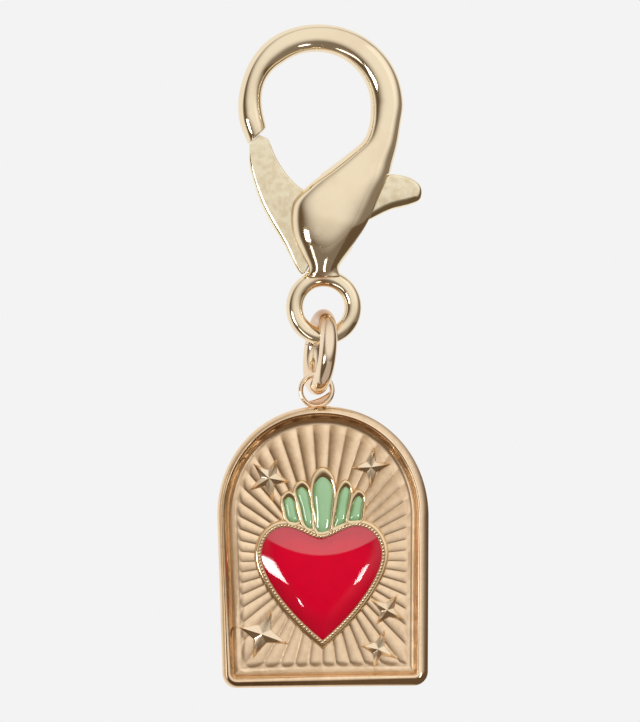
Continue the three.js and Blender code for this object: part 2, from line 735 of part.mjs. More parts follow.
function medal() {
  const flames = Object.values(FLAMES);
  const underBezel = offset(heartOutline(20), BEZEL_WALL / 2);
  const heartCell = plate(underBezel, depthAt(RIM_DEPTH + 2), depthAt(PLATE_DEPTH - CELL_DEPTH));
  const solid = joined([
    solidOf(medalRim()),
    solidOf(medalPlate()),
    ...STARS.map((one) => solidOf(star(one))),
    ...flames.map(flameWall),
  ])
    .subtract(solidOf(heartCell))
    .add(solidOf(heartBezel()))
    .subtract(joined(flames.map(flameCell)))
    .subtract(bailSeat());
  return geometryOf(solid);
}

// Enamel fills its cell to the edge and rises in a low dome
function domedFill(outline, edgeHeight, rise) {
  const floor = PLATE_DEPTH - CELL_DEPTH + ENAMEL_GAP;
  const fill = offset(outline, -ENAMEL_GAP);
  const middle = new THREE.Vector2();
  fill.forEach((point) => middle.addScaledVector(point, 1 / fill.length));
  const ring = (share, height) => fill.map((point) => {
    const drawn = middle.clone().lerp(point, share);
    return new THREE.Vector3(drawn.x, depthAt(height), drawn.y);
  });
  const domeSteps = 4;
  const rings = [ring(1, floor)];
  for (let i = 0; i < domeSteps; i += 1) {
    const share = Math.cos((Math.PI / 2) * (i / domeSteps));
    rings.push(ring(share, edgeHeight + rise * Math.sin((Math.PI / 2) * (i / domeSteps))));
  }
  return skin(THREE.ShapeUtils.isClockWise(outline) ? rings.map((row) => row.reverse()) : rings, false);
}

function heartEnamel() {
  return domedFill(heartOutline(32), PLATE_DEPTH + BEZEL_HEIGHT - BEAD_HEIGHT, HEART_DOME);
}

function flameEnamel(points) {
  const dome = domedFill(smoothLoop(points, FLAME_STEPS), PLATE_DEPTH + FLAME_HEIGHT - FLAME_LIP, FLAME_DOME);
  return geometryOf(solidOf(dome).subtract(heartBlock(BEZEL_WALL + ENAMEL_GAP)));
}

function metal(colour, roughness) {
  return new THREE.MeshStandardMaterial({ color: colour, metalness: 1, roughness });
}

function enamel(colour) {
  return new THREE.MeshStandardMaterial({ color: colour, metalness: 0, roughness: 0.08 });
}

const polishedGold = metal(0xe8d3a4, 0.12);
const satinGold = metal(0xddc394, 0.38);
const warmGold = metal(0xdcb789, 0.16);
const rivetSteel = metal(0xc9c3b8, 0.25);
const redEnamel = enamel(0xcd0a28);
const greenEnamel = enamel(0x93c48d);

function piece(name, geometry, material) {
  const mesh = new THREE.Mesh(geometry, material);
  mesh.name = name;
  return mesh;
}

// The clasp with its lever, rivet and spring, which turn about the pivot
function clasp() {
  const group = new THREE.Group();
  group.add(piece('clasp_body', claspBody(), polishedGold));
  const onPivot = new THREE.Group();
  onPivot.position.set(pivot[0], 0, pivot[1]);
  onPivot.add(piece('clasp_lever', claspLever(), satinGold));
  onPivot.add(piece('lever_pin', leverPin(), rivetSteel));
  onPivot.add(piece('lever_spring', leverSpring(), rivetSteel));
  group.add(onPivot);
  return group;
}

// The jump ring hangs nearly edge on to the front, and leans
function link() {
  const mesh = piece('connecting_link', wireRing(LINK_DIAMETER, LINK_WIRE, 36, 10), warmGold);
  mesh.rotation.z = -degrees(90 - LINK_TURN);
  const group = new THREE.Group();
  group.position.set(linkCentre[0], 0, linkCentre[1]);
  group.rotation.y = degrees(LINK_LEAN);
  group.add(mesh);
  return group;
}

function bail() {
  const mesh = piece('bail', wireRing(BAIL_DIAMETER, BAIL_WIRE, 30, 8), warmGold);
  mesh.position.set(bailCentre[0], 0, bailCentre[1]);
  return mesh;
}

function medalGroup() {
  const group = new THREE.Group();
  group.position.set(medalCentre[0], 0, medalCentre[1]);
  group.rotation.y = -degrees(MEDAL_TILT);
  group.add(piece('medal', medal(), warmGold));
  group.add(piece('heart_enamel', heartEnamel(), redEnamel));
  Object.entries(FLAMES).forEach(([name, points]) => {
    group.add(piece(name, flameEnamel(points), greenEnamel));
  });
  return group;
}

const group = new THREE.Group();
group.add(clasp(), link(), bail(), medalGroup());

export default group;
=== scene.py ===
import json
import math

import bpy
import numpy as np
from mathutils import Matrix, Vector
from mathutils.geometry import delaunay_2d_cdt, tessellate_polygon


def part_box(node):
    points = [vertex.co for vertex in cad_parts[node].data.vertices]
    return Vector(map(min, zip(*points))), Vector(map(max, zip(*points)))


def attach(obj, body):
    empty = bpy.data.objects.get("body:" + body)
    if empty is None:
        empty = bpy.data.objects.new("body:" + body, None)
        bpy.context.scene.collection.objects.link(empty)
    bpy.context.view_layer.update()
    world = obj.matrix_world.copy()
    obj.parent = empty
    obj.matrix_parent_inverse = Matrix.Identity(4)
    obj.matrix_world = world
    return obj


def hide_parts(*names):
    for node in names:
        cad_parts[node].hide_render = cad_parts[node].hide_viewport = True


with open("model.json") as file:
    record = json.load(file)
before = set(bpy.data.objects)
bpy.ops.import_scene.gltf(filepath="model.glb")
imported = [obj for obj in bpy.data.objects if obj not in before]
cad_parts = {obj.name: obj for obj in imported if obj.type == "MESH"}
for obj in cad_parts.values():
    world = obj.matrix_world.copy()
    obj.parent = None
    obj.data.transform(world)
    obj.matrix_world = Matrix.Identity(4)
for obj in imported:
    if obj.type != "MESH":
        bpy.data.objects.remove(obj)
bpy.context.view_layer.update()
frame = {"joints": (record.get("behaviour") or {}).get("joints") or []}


# Clasp body
# One zinc die casting, gold plated and mirror polished: the hook, the domed claw with a slot
# right through it for the lever, and the fixed eye under its tip.

MM = 0.001
HOOK_RADIUS = 6.56 * MM
HOOK_CENTRE = np.array([0.0, -HOOK_RADIUS])
HOOK_WIRE_AT_NOSE = 2.8 * MM
HOOK_WIRE_AT_TOP = 3.3 * MM
HOOK_WIRE_AT_BODY = 3.9 * MM
HOOK_DEPTH = 3.3 * MM
HOOK_SQUARENESS = 2.15
HOOK_WAVE = 0.21 * MM
NOSE_DEGREES = 192
NOSE_DEPTH = 2.9 * MM
NOSE_INNER = np.array([-5.92, -2.52]) * MM
NOSE_OUTER = np.array([-8.15, -4.55]) * MM
BODY_DEPTH = 6.1 * MM
BODY_SQUARENESS = 2.4
END_ROUND = 0.22 * MM
EYE_RADIUS = 3.5 * MM
EYE_WIRE = 2.06 * MM
# Left edge x and z and right edge x and z, in millimetres from the hook's middle, and how far the dome swells
BODY_EDGES = np.array([
    [6.4, -2.08, 10.18, -2.08, 0.08],
    [5.7, -3.95, 9.78, -4.6, 0.25],
    [4.0, -5.46, 9.23, -6.76, 0.5],
    [1.64, -7.28, 8.73, -8.8, 0.75],
    [-0.8, -9.1, 7.74, -11.08, 0.93],
    [-2.9, -11.3, 6.76, -13.36, 1.0],
    [-3.24, -13.0, 5.82, -15.04, 1.0],
    [-3.0, -15.4, 4.36, -17.08, 0.85],
    [-2.04, -17.68, 3.1, -18.76, 0.5],
    [-1.2, -19.5, 2.75, -19.4, 0.15],
    [-1.3, -20.0, 2.85, -19.9, 0.0],
    [-1.7, -20.55, 3.2, -20.5, -0.1],
])


def joint_place(name):
    """Where a joint of the frame sits, as x and z."""
    place = next(joint["pos_m"] for joint in frame["joints"] if joint["name"] == name)
    return np.array([place[0], place[2]])


PIVOT = joint_place("lever_pivot")
EYE_CENTRE = joint_place("link_swing") + [0, EYE_RADIUS]


def smooth_line(points, count, closed=False):
    """A smooth curve through the points: between two of them runs the cubic whose end slopes weigh the steps
    on either side by the square roots of their lengths."""
    points = np.asarray(points, float)
    if closed:
        row = np.vstack([points[-1:], points, points[:2]])
    else:
        row = np.vstack([2 * points[0] - points[1], points, 2 * points[-1] - points[-2]])
    step = np.linalg.norm(np.diff(row, axis=0), axis=1) ** 0.5
    spans = len(row) - 3
    place = np.linspace(0, spans, count, endpoint=not closed)
    span = np.minimum(place.astype(int), spans - 1)
    t = (place - span)[:, None]
    before, start, end, after = (row[span + k] for k in range(4))
    d0, d1, d2 = (step[span + k][:, None] for k in range(3))
    leaving = ((start - before) / d0 - (end - before) / (d0 + d1)) * d1 + (end - start)
    arriving = ((after - end) / d2 - (after - start) / (d1 + d2)) * d1 + (end - start)
    square = 3 * (end - start) - 2 * leaving - arriving
    cube = leaving + arriving - 2 * (end - start)
    return start + leaving * t + square * t**2 + cube * t**3


def full_circle(count):
    """Angles in equal steps all the way round."""
    return np.linspace(0, 2 * np.pi, count, endpoint=False)


def unit(angle):
    """Steps of length one at these angles, as x and z."""
    return np.stack([np.cos(angle), np.sin(angle)], axis=-1)


def between_rings(rows, columns):
    """The quads between rings of points, row by row, each ring closed from its last point to its first."""
    here = np.arange(rows * columns).reshape(rows, columns)
    beside = np.roll(here, -1, axis=1)
    return np.stack([here[:-1], beside[:-1], beside[1:], here[1:]], axis=-1).reshape(-1, 4)


def skin(rings, closed=False):
    """A skin over rings of points, rows by columns. It joins its last ring to its first one, or ends in a
    fan of triangles round the middle of each end ring. A triangle is a quad with one corner told twice."""
    rows, columns = rings.shape[:2]
    points = rings.reshape(-1, 3)
    if closed:
        return facing_out(points, between_rings(rows + 1, columns) % len(points))
    first = np.arange(columns)
    first_beside = np.roll(first, -1)
    last, last_beside = first + len(points) - columns, first_beside + len(points) - columns
    fans = [
        np.stack([0 * first + len(points), first_beside, first, first], axis=-1),
        np.stack([0 * first + len(points) + 1, last, last_beside, last_beside], axis=-1),
    ]
    points = np.vstack([points, rings[[0, -1]].mean(axis=1)])
    return facing_out(points, np.vstack([between_rings(rows, columns), *fans]))


def facing_out(points, quads):
    """The same faces, turned round if the volume that they close comes out negative."""
    a, b, c, d = (points[quads[:, k]] - points.mean(axis=0) for k in range(4))
    volumes = np.cross(a, b) * c + np.cross(a, c) * d
    return points, quads if volumes.sum() > 0 else quads[:, [0, 3, 2, 1]]


def together(shapes):
    """Several shapes as one, with each shape's faces counted on from the points before it."""
    starts = np.cumsum([0] + [len(points) for points, _ in shapes])
    faces = [quads + start for (_, quads), start in zip(shapes, starts)]
    return np.vstack([points for points, _ in shapes]), np.vstack(faces)


def solid(name, shape):
    """An object of the shape's points and faces."""
    points, quads = shape
    kept = quads != np.roll(quads, -1, axis=1)
    sizes = kept.sum(axis=1)
    mesh = bpy.data.meshes.new(name)
    mesh.vertices.add(len(points))
    mesh.vertices.foreach_set("co", points.astype(np.float32).ravel())
    mesh.loops.add(int(sizes.sum()))
    mesh.loops.foreach_set("vertex_index", quads[kept].astype(np.int32))
    mesh.polygons.add(len(quads))
    mesh.polygons.foreach_set("loop_start", (np.cumsum(sizes) - sizes).astype(np.int32))
    mesh.update(calc_edges=True)
    mesh.validate()
    thing = bpy.data.objects.new(name, mesh)
    bpy.context.collection.objects.link(thing)
    return thing


def carve(thing, tool, operation="DIFFERENCE"):
    """Cut the tool away from the thing, or join it on, and throw the tool away."""
    step = thing.modifiers.new("carve", "BOOLEAN")
    step.operation = operation
    step.solver = "EXACT"
    step.object = tool
    bpy.context.view_layer.update()
    carved = bpy.data.meshes.new_from_object(thing.evaluated_get(bpy.context.evaluated_depsgraph_get()))
    thing.modifiers.clear()
    thing.data = carved
    bpy.data.objects.remove(tool)


def fit(thing, finish, body, stands_for=()):
    """Give a finished piece its material, its body and the nodes that it stands for."""
    mesh = thing.data
    mesh.name = thing.name
    mesh.shade_smooth()
    mesh.set_sharp_from_angle(angle=math.radians(38))
    mesh.materials.clear()
    mesh.materials.append(finish)
    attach(thing, body)
    if stands_for:
        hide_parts(*stands_for)
    return thing


class Socket:
    """A socket of a material's nodes. Sums, differences and products add Math nodes, and node() adds any
    other node from its type, its settings, and the values or links of its sockets."""

    def __init__(self, tree, link):
        self.tree = tree
        self.link = link

    def node(self, kind, settings=None, values=None, output=0):
        made = self.tree.nodes.new("ShaderNode" + kind)
        for name, value in (settings or {}).items():
            setattr(made, name, value)
        for key, value in (values or {}).items():
            if isinstance(value, Socket):
                self.tree.links.new(value.link, made.inputs[key])
            else:
                made.inputs[key].default_value = value
        return Socket(self.tree, made.outputs[output] if made.outputs else None)

    def maths(self, operation, first, second):
        return self.node("Math", {"operation": operation}, {0: first, 1: second})

    def __add__(self, other):
        return self.maths("ADD", self, other)

    __radd__ = __add__

    def __sub__(self, other):
        return self.maths("SUBTRACT", self, other)

    def __rsub__(self, other):
        return self.maths("SUBTRACT", other, self)

    def __mul__(self, other):
        return self.maths("MULTIPLY", self, other)

    __rmul__ = __mul__

    def or_more(self, other):
        """The larger of the two."""
        return self.maths("MAXIMUM", self, other)

    def part(self, axis):
        """One part of a place or a direction: 0 to the right, 1 to the back, 2 up."""
        return self.node("SeparateXYZ", {}, {0: self}, output=axis)

    def noise(self, size, detail=2.0, stretch=(1, 1, 1)):
        """Noise of a grain size in metres, about 0 to 1; stretch makes it longer along an axis."""
        place = self.node("Mapping", {}, {"Vector": self, "Scale": [1 / (size * s) for s in stretch]})
        return self.node("TexNoise", {}, {"Vector": place, "Scale": 1.0, "Detail": detail})

    def above(self, low, high):
        """0 below low, 1 above high, and smooth between."""
        settings = {"interpolation_type": "SMOOTHSTEP"}
        return self.node("MapRange", settings, {"Value": self, "From Min": low, "From Max": high})

    def tint(self, first, second):
        """The first colour where this is 0, the second where it is 1. The first can be a colour of nodes."""
        first = first if isinstance(first, Socket) else (*first, 1.0)
        return self.node("Mix", {"data_type": "RGBA"}, {0: self, 6: first, 7: (*second, 1.0)}, output=2)


def fresh(name):
    """A new material without nodes, and its first socket, the place on the piece in metres."""
    material = bpy.data.materials.new(name)
    material.use_nodes = True
    material.node_tree.nodes.clear()
    return material, Socket(material.node_tree, None).node("TexCoord", output=3)


def close(place, values):
    """End a material in a Principled shader with these values or links."""
    shader = place.node("BsdfPrincipled", {}, values)
    place.node("OutputMaterial", {}, {"Surface": shader})


def relief(place, height, distance):
    """A Bump node: height from 0 to 1 stands for a distance in metres."""
    return place.node("Bump", {}, {"Height": height, "Distance": distance, "Strength": 1.0})


# Copper painted into joins and seams as shade and as reflection from the gold round them.
COPPER_PAINTED_SHADE = (0.46, 0.21, 0.08)


def gold(name, pale, deep, polish, wave=0.012 * MM):
    """Polished plate: a slow waviness from the casting, soft smears of haze, fine hairlines and a few pits,
    and a copper tint painted into joins as shade and as reflection from the gold round them."""
    material, place = fresh(name)
    smears = place.noise(3.5 * MM, 3.0).above(0.42, 0.72)
    hairs = place.noise(0.12 * MM, 2.0, (1, 1, 14)) * 0.5 + place.noise(0.1 * MM, 2.0, (16, 1, 1)) * 0.5
    pits = place.noise(0.22 * MM, 1.0).above(0.77, 0.8)
    waves = place.noise(2.6 * MM, 1.0)
    # Painted shade: how much copper shade and reflection is painted into the colour here.
    painted_shade = place.node("Attribute", {"attribute_name": "painted_shade"}, output=2)
    height = waves - pits * 0.35 + hairs * 0.02
    close(place, {
        "Base Color": painted_shade.tint((smears * 0.5 + pits * 0.3).tint(pale, deep), COPPER_PAINTED_SHADE),
        "Metallic": 1.0,
        "Roughness": polish + smears * 0.05 + hairs * 0.03 + pits * 0.2,
        "Normal": relief(place, height, wave),
    })
    return material


def smooth_step(low, high, value):
    """0 below low, 1 above high and between them 3 t squared minus 2 t cubed."""
    t = np.clip((value - low) / (high - low), 0, 1)
    return t * t * (3 - 2 * t)


def clasp_sweep(stations=25, sections=315, sides=80):
    """Hook and body as one sweep: each section is a superellipse between the inner and the outer edge, whose
    power goes from the hook's to the body's with the depth, with rounded rims where it ends in the nose and
    in the tip. The hook's wire swells over its far shoulder and again towards the body, and the opening is
    not quite round near the nose, where a sine wave four times as fast as the turn is added to its radius."""
    degree = np.linspace(NOSE_DEGREES, 0, stations)
    around = unit(np.radians(degree))
    shoulder, root = 1 - smooth_step(118, 170, degree), 1 - smooth_step(15, 100, degree)
    wire = HOOK_WIRE_AT_NOSE + (HOOK_WIRE_AT_TOP - HOOK_WIRE_AT_NOSE) * shoulder
    wire = wire + (HOOK_WIRE_AT_BODY - HOOK_WIRE_AT_TOP) * root
    wave = np.where(degree > 127, HOOK_WAVE * np.sin(np.radians((172 - degree) * 4)), 0)
    half = np.full((stations, 1), HOOK_DEPTH / 2)
    swell = HOOK_DEPTH + BODY_EDGES[:, 4:] * (BODY_DEPTH - HOOK_DEPTH)
    inner = np.vstack([
        np.hstack([NOSE_INNER, NOSE_DEPTH / 2]),
        np.hstack([(HOOK_RADIUS + wave[:, None]) * around, half]),
        np.hstack([BODY_EDGES[:, 0:2] * MM, swell / 2]),
    ])
    outer = np.vstack([
        np.hstack([NOSE_OUTER, NOSE_DEPTH / 2]),
        np.hstack([(HOOK_RADIUS + wire[:, None]) * around, half]),
        np.hstack([BODY_EDGES[:, 2:4] * MM, swell / 2]),
    ])
    inner, outer = smooth_line(inner, sections), smooth_line(outer, sections)
    swelled = np.clip((2 * inner[:, 2:] - HOOK_DEPTH) / (BODY_DEPTH - HOOK_DEPTH), 0, 1)
    power = 2 / (HOOK_SQUARENESS + (BODY_SQUARENESS - HOOK_SQUARENESS) * swelled)
    angle = full_circle(sides)
    across = np.sign(np.cos(angle)) * np.abs(np.cos(angle)) ** power
    deep = np.sign(np.sin(angle)) * np.abs(np.sin(angle)) ** power
    share = ((1 - across) / 2)[..., None]
    rings = inner[:, None] * (1 - share) + outer[:, None] * share
    x, y, z = rings[..., 0] + HOOK_CENTRE[0], rings[..., 2] * deep, rings[..., 1] + HOOK_CENTRE[1]
    rings = np.stack([x, y, z], axis=-1)
    nose = rounded_end(rings[0], rings[0] - rings[3], END_ROUND)
    tip = rounded_end(rings[-1], rings[-1] - rings[-4], END_ROUND)
    return skin(np.concatenate([nose[::-1], rings[3:-3], tip]))


def rounded_end(ring, outwards, radius, steps=6):
    """Rings that draw in by one minus the cosine and go out by the sine of a quarter turn, up to the end
    ring's own plane."""
    centre = ring.mean(axis=0)
    along = outwards.mean(axis=0) / np.linalg.norm(outwards.mean(axis=0))
    turn = np.linspace(0, np.pi / 2, steps)[:, None, None]
    reach = np.linalg.norm(ring - centre, axis=1)[None, :, None]
    drawn = 1 - radius * (1 - np.cos(turn)) / reach
    return centre + (ring - centre) * drawn + along * radius * (np.sin(turn) - 1)


def wire_ring(centre, radius, wire, around=160, sides=40):
    """A torus that faces the front: a circle of the wire's radius carried round the ring's middle line."""
    turn, side = full_circle(around)[:, None], full_circle(sides)[None, :]
    reach = radius + wire / 2 * np.cos(side)
    x = centre[0] + reach * np.cos(turn)
    z = centre[1] + reach * np.sin(turn)
    return skin(np.stack([x, wire / 2 * np.sin(side) + 0 * turn, z], axis=-1), closed=True)


def bar(diameter, front, back, centre, sides=64):
    """A round bar from front to back: one circle at each end."""
    circle = centre + diameter / 2 * unit(full_circle(sides))
    return skin(np.stack([np.insert(circle, 1, depth, axis=1) for depth in (front, back)]))


LEVER_THICKNESS = 2.4 * MM
LEVER_OPENS = 28
LEVER_GAP = 0.15 * MM
LEVER_SIDE_GAP = 0.12 * MM
NOSE_GAP = 0.12 * MM
TIP_ROUND = 0.12 * MM
HEEL_RADIUS = 3.24 * MM
HEEL_ROUND = 0.3 * MM
# The lever's edges round its pivot: x, z and how far the edge is rounded over, in millimetres
GATE_AND_TAB = [
    [-5.98, 11.1, 0.12],
    [-4.56, 8.04, 0.25],
    [-2.16, 5.28, 0.25],
    [0.96, 4.14, 0.25],
    [4.5, 4.8, 0.3],
    [8.52, 6.78, 0.3],
    [10.1, 6.7, 0.35],
    [11.4, 6.22, 0.4],
    [12.2, 5.55, 0.5],
    [12.46, 4.75, 0.6],
    [12.2, 3.75, 0.8],
    [11.0, 3.15, 1.0],
    [8.7, 2.55, 1.0],
    [6.3, 1.42, 0.8],
    [4.08, 0.2, 0.5],
    [3.24, -0.7, 0.3],
]
TAIL_AND_BACK = [
    [-1.5, -4.95, 0.12],
    [-1.95, -5.12, 0.2],
    [-2.36, -4.8, 0.3],
    [-4.1, -1.58, 0.6],
    [-5.7, 1.06, 0.65],
    [-6.95, 3.54, 0.6],
    [-7.75, 5.99, 0.5],
    [-8.26, 8.27, 0.4],
    [-8.22, 9.7, 0.15],
]


def lever_outline(count):
    """The lever's outline round its pivot: gate tip, inner edge, thumb tab, a round heel, tail and back,
    with the width of the rounded edge as a third number."""
    face = NOSE_OUTER - NOSE_INNER
    away = np.array([-face[1], face[0]]) / np.linalg.norm(face) * NOSE_GAP
    tip = HOOK_CENTRE + NOSE_INNER + away - PIVOT
    inner, outer = tip + 0.42 * face, tip + 0.96 * face
    heel = HEEL_RADIUS * unit(np.radians(np.linspace(-14, -100, count // 10)))
    heel = np.insert(heel, 2, HEEL_ROUND, axis=1)
    return np.vstack([
        [[*inner, TIP_ROUND]],
        smooth_line(np.array(GATE_AND_TAB) * MM, count // 2),
        heel,
        smooth_line(np.array(TAIL_AND_BACK) * MM, count // 3),
        [[*outer, TIP_ROUND]],
    ])


def outward(outline):
    """The unit normals of a closed outline, each across the mean of its two steps, and how much a corner
    stretches them."""
    ahead = np.roll(outline, -1, axis=0) - outline
    ahead = ahead / np.linalg.norm(ahead, axis=1, keepdims=True)
    along = ahead + np.roll(ahead, 1, axis=0)
    along = along / np.linalg.norm(along, axis=1, keepdims=True)
    stretch = 1 / np.maximum(0.6, (along * ahead).sum(axis=1, keepdims=True))
    x, z = outline[:, 0], outline[:, 1]
    area = (x * np.roll(z, -1) - np.roll(x, -1) * z).sum()
    return np.stack([along[:, 1], -along[:, 0]], axis=1) * stretch * np.sign(area)


def moved_out(outline, distance):
    """The outline moved out by a distance, or by one distance for each point."""
    return outline + outward(outline) * np.reshape(distance, (-1, 1))


def layered(outlines, depths):
    """A solid from outlines of equally many points, one for each depth, with flat ends."""
    rows, columns, first = len(outlines), len(outlines[0]), outlines[0]
    rings = [np.stack([line[:, 0], 0 * line[:, 0] + depth, line[:, 1]], axis=1)
             for line, depth in zip(outlines, depths)]
    flat = np.array(tessellate_polygon([[Vector((x, z, 0)) for x, z in first]]))[:, [0, 1, 2, 2]]
    steps = np.roll(first, -1, axis=0)
    area = (first[:, 0] * steps[:, 1] - steps[:, 0] * first[:, 1]).sum()
    a, b, c = (first[flat[:, k]] for k in range(3))
    turned = np.cross(b - a, c - a) * area < 0
    flat[turned] = flat[turned][:, [0, 2, 1, 1]]
    quads = [between_rings(rows, columns), flat[:, [0, 2, 1, 1]], flat + (rows - 1) * columns]
    return facing_out(np.vstack(rings), np.vstack(quads))


def slot_cutter():
    """The space that the lever sweeps: its outline, a little wider, at thirteen turns from shut to open,
    joined into one flat shape that is cut off level below the nose, as thick as the lever with its gaps."""
    wide = moved_out(lever_outline(120)[:, :2], LEVER_GAP)
    turns = np.radians(np.linspace(0, LEVER_OPENS, 13))[:, None]
    x = wide[:, 0] * np.cos(turns) + wide[:, 1] * np.sin(turns) + PIVOT[0]
    z = wide[:, 1] * np.cos(turns) - wide[:, 0] * np.sin(turns) + PIVOT[1]
    z = np.minimum(z, HOOK_CENTRE[1] + NOSE_OUTER[1] - 1 * MM)
    corners = np.stack([x, z], axis=-1).reshape(-1, 2) / MM
    loops = np.arange(len(corners)).reshape(len(turns), -1)
    flat, _, triangles, *_ = delaunay_2d_cdt(
        [Vector(corner) for corner in corners], [], [list(map(int, loop)) for loop in loops], 1, 1e-4,
    )
    flat = np.array([tuple(point) for point in flat]) * MM
    triangles = np.array(triangles)
    edges = np.vstack([triangles[:, [0, 1]], triangles[:, [1, 2]], triangles[:, [2, 0]]])
    _, first, times = np.unique(np.sort(edges, axis=1), axis=0, return_index=True, return_counts=True)
    rim = edges[first[times == 1]]
    half = LEVER_THICKNESS / 2 + LEVER_SIDE_GAP
    front = np.stack([flat[:, 0], np.full(len(flat), -half), flat[:, 1]], axis=1)
    back = front + [0, 2 * half, 0]
    walls = np.stack([rim[:, 1], rim[:, 0], rim[:, 0] + len(flat), rim[:, 1] + len(flat)], axis=1)
    quads = np.vstack([triangles[:, [0, 1, 2, 2]], triangles[:, [0, 2, 1, 1]] + len(flat), walls])
    return facing_out(np.vstack([front, back]), quads)


def with_painted_shade(thing, values):
    """Paint on each point how much shade, tinted by the gold round it, is painted into its colour."""
    layer = thing.data.attributes.new("painted_shade", "FLOAT", "POINT")
    layer.data.foreach_set("value", values.astype(np.float32))
    return thing


def near(thing, place, reach):
    """1 at a place seen from the front, falling to 0 at the reach from it, for each point of the piece."""
    points = np.empty(3 * len(thing.data.vertices), np.float32)
    thing.data.vertices.foreach_get("co", points)
    off = points.reshape(-1, 3)[:, [0, 2]] - place
    return 1 - smooth_step(0, reach, np.hypot(off[:, 0], off[:, 1]))


RIVET_DIAMETER = 1.3 * MM
RIVET_GAP = 0.02 * MM
mirror_gold = gold("mirror_gold", (0.93, 0.80, 0.58), (0.86, 0.70, 0.49), 0.055)
clasp_body = solid("clasp_casting", clasp_sweep())
carve(clasp_body, solid("eye", wire_ring(EYE_CENTRE, EYE_RADIUS, EYE_WIRE)), "UNION")
carve(clasp_body, solid("slot", slot_cutter()))
carve(clasp_body, solid("rivet_hole", bar(RIVET_DIAMETER + RIVET_GAP, -BODY_DEPTH, BODY_DEPTH, PIVOT)))
# Copper shade and reflection painted where the eye meets the tip of the body.
EYE_SEAM = EYE_CENTRE + [-0.2 * MM, EYE_RADIUS - 0.1 * MM]
EYE_SEAM_REACH = 1.7 * MM
with_painted_shade(clasp_body, 0.6 * near(clasp_body, EYE_SEAM, EYE_SEAM_REACH))
fit(clasp_body, mirror_gold, "clasp", ["clasp_body"])


# Lever
# A die-cast gate and thumb tab in one. Its flat faces are left satin from the tumbler, and
# its edges are polished round. It turns on the rivet inside the claw.

def lever_shape():
    """The outline drawn in over a quarter turn at both faces, by the width that each point of it gives."""
    outline = lever_outline(420)
    line, width = outline[:, :2] + PIVOT, outline[:, 2]
    turn = np.linspace(0, np.pi / 2, 9)
    outlines = [moved_out(line, -width * (1 - np.cos(a))) for a in turn]
    depths = [LEVER_THICKNESS / 2 - width * (1 - np.sin(a)) for a in turn]
    return layered(outlines[::-1] + outlines, [-depth for depth in depths[::-1]] + depths)


def satin(name, pale, deep, grain=0.09 * MM):
    """Cast and tumbled: a fine mottled grain on what faces forwards or backwards, and polish elsewhere."""
    material, place = fresh(name)
    depth, face = place.part(1), LEVER_THICKNESS / 2
    flat = (depth * depth).above((face - 0.03 * MM) ** 2, (face - 0.005 * MM) ** 2)
    mottle = place.noise(0.7 * MM, 3.0)
    specks = place.noise(0.3 * MM, 1.0).above(0.74, 0.79)
    fine = place.noise(grain, 2.0)
    close(place, {
        "Base Color": (mottle.above(0.35, 0.7) * 0.7 + specks * 0.3).tint(pale, deep),
        "Metallic": 1.0,
        "Roughness": 0.07 + flat * (0.25 + mottle * 0.12 + specks * 0.1),
        "Normal": relief(place, flat * (fine * 0.5 + mottle * 0.8 - specks), 0.016 * MM),
    })
    return material


COIL_POCKET = 2.84 * MM
COIL_POCKET_FLOOR = 0.39 * MM
PIVOT_HOLE = 1.5 * MM
satin_gold = satin("satin_gold", (1.0, 0.91, 0.68), (0.85, 0.71, 0.47))
clasp_lever = solid("gate_and_tab", lever_shape())
carve(clasp_lever, solid("coil_pocket", bar(COIL_POCKET, -LEVER_THICKNESS, COIL_POCKET_FLOOR, PIVOT)))
carve(clasp_lever, solid("pivot_hole", bar(PIVOT_HOLE, -LEVER_THICKNESS, LEVER_THICKNESS, PIVOT)))
fit(clasp_lever, satin_gold, "lever", ["clasp_lever"])


# Rivet and spring
# The rivet is a brass pin, riveted and polished flush with both cheeks. The torsion spring
# is drawn steel wire wound round it, with one leg in the lever and one end in the front cheek.

def tube(path, radius, sides=16):
    """A circle carried along a path without twisting: each frame is the last one, laid flat on the next
    step."""
    ahead = np.gradient(path, axis=0)
    ahead /= np.linalg.norm(ahead, axis=1, keepdims=True)
    side = np.cross(ahead[0], [0.3, 1.0, 0.2])
    sides_along = []
    for step in ahead:
        side = side - step * (side @ step)
        side = side / np.linalg.norm(side)
        sides_along.append(side)
    first = np.array(sides_along)[:, None]
    second = np.cross(ahead, np.array(sides_along))[:, None]
    turn = full_circle(sides)[None, :, None]
    return skin(path[:, None] + radius * (first * np.cos(turn) + second * np.sin(turn)))


SPRING_WIRE = 0.3 * MM
SPRING_RADIUS = 1.15 * MM
SPRING_PITCH = 0.42 * MM
SPRING_TURNS = 2.5
SPRING_DEEPEST = 0.12 * MM
SPRING_LEG = 2.58 * MM
SPRING_LEG_ANGLE = math.radians(112)


def spring_path():
    """The leg runs in to the coil, the coil winds two and a half turns forwards, and the end goes straight on
    into the cheek."""
    leg = np.linspace(SPRING_LEG, 1.45 * MM, 8)[:, None] * unit(SPRING_LEG_ANGLE)
    leg = np.insert(leg, 1, SPRING_DEEPEST, axis=1)
    turns = np.append(np.linspace(0.04, SPRING_TURNS, 110)[::6], SPRING_TURNS)
    coil = SPRING_RADIUS * unit(SPRING_LEG_ANGLE - 2 * np.pi * turns)
    coil = np.insert(coil, 1, SPRING_DEEPEST - turns * SPRING_PITCH, axis=1)
    end = coil[-1] - np.linspace(0.25, 0.9, 5)[:, None] * [0, MM, 0]
    return smooth_line(np.vstack([leg, coil[:-1], end]), 260) + [PIVOT[0], 0, PIVOT[1]]


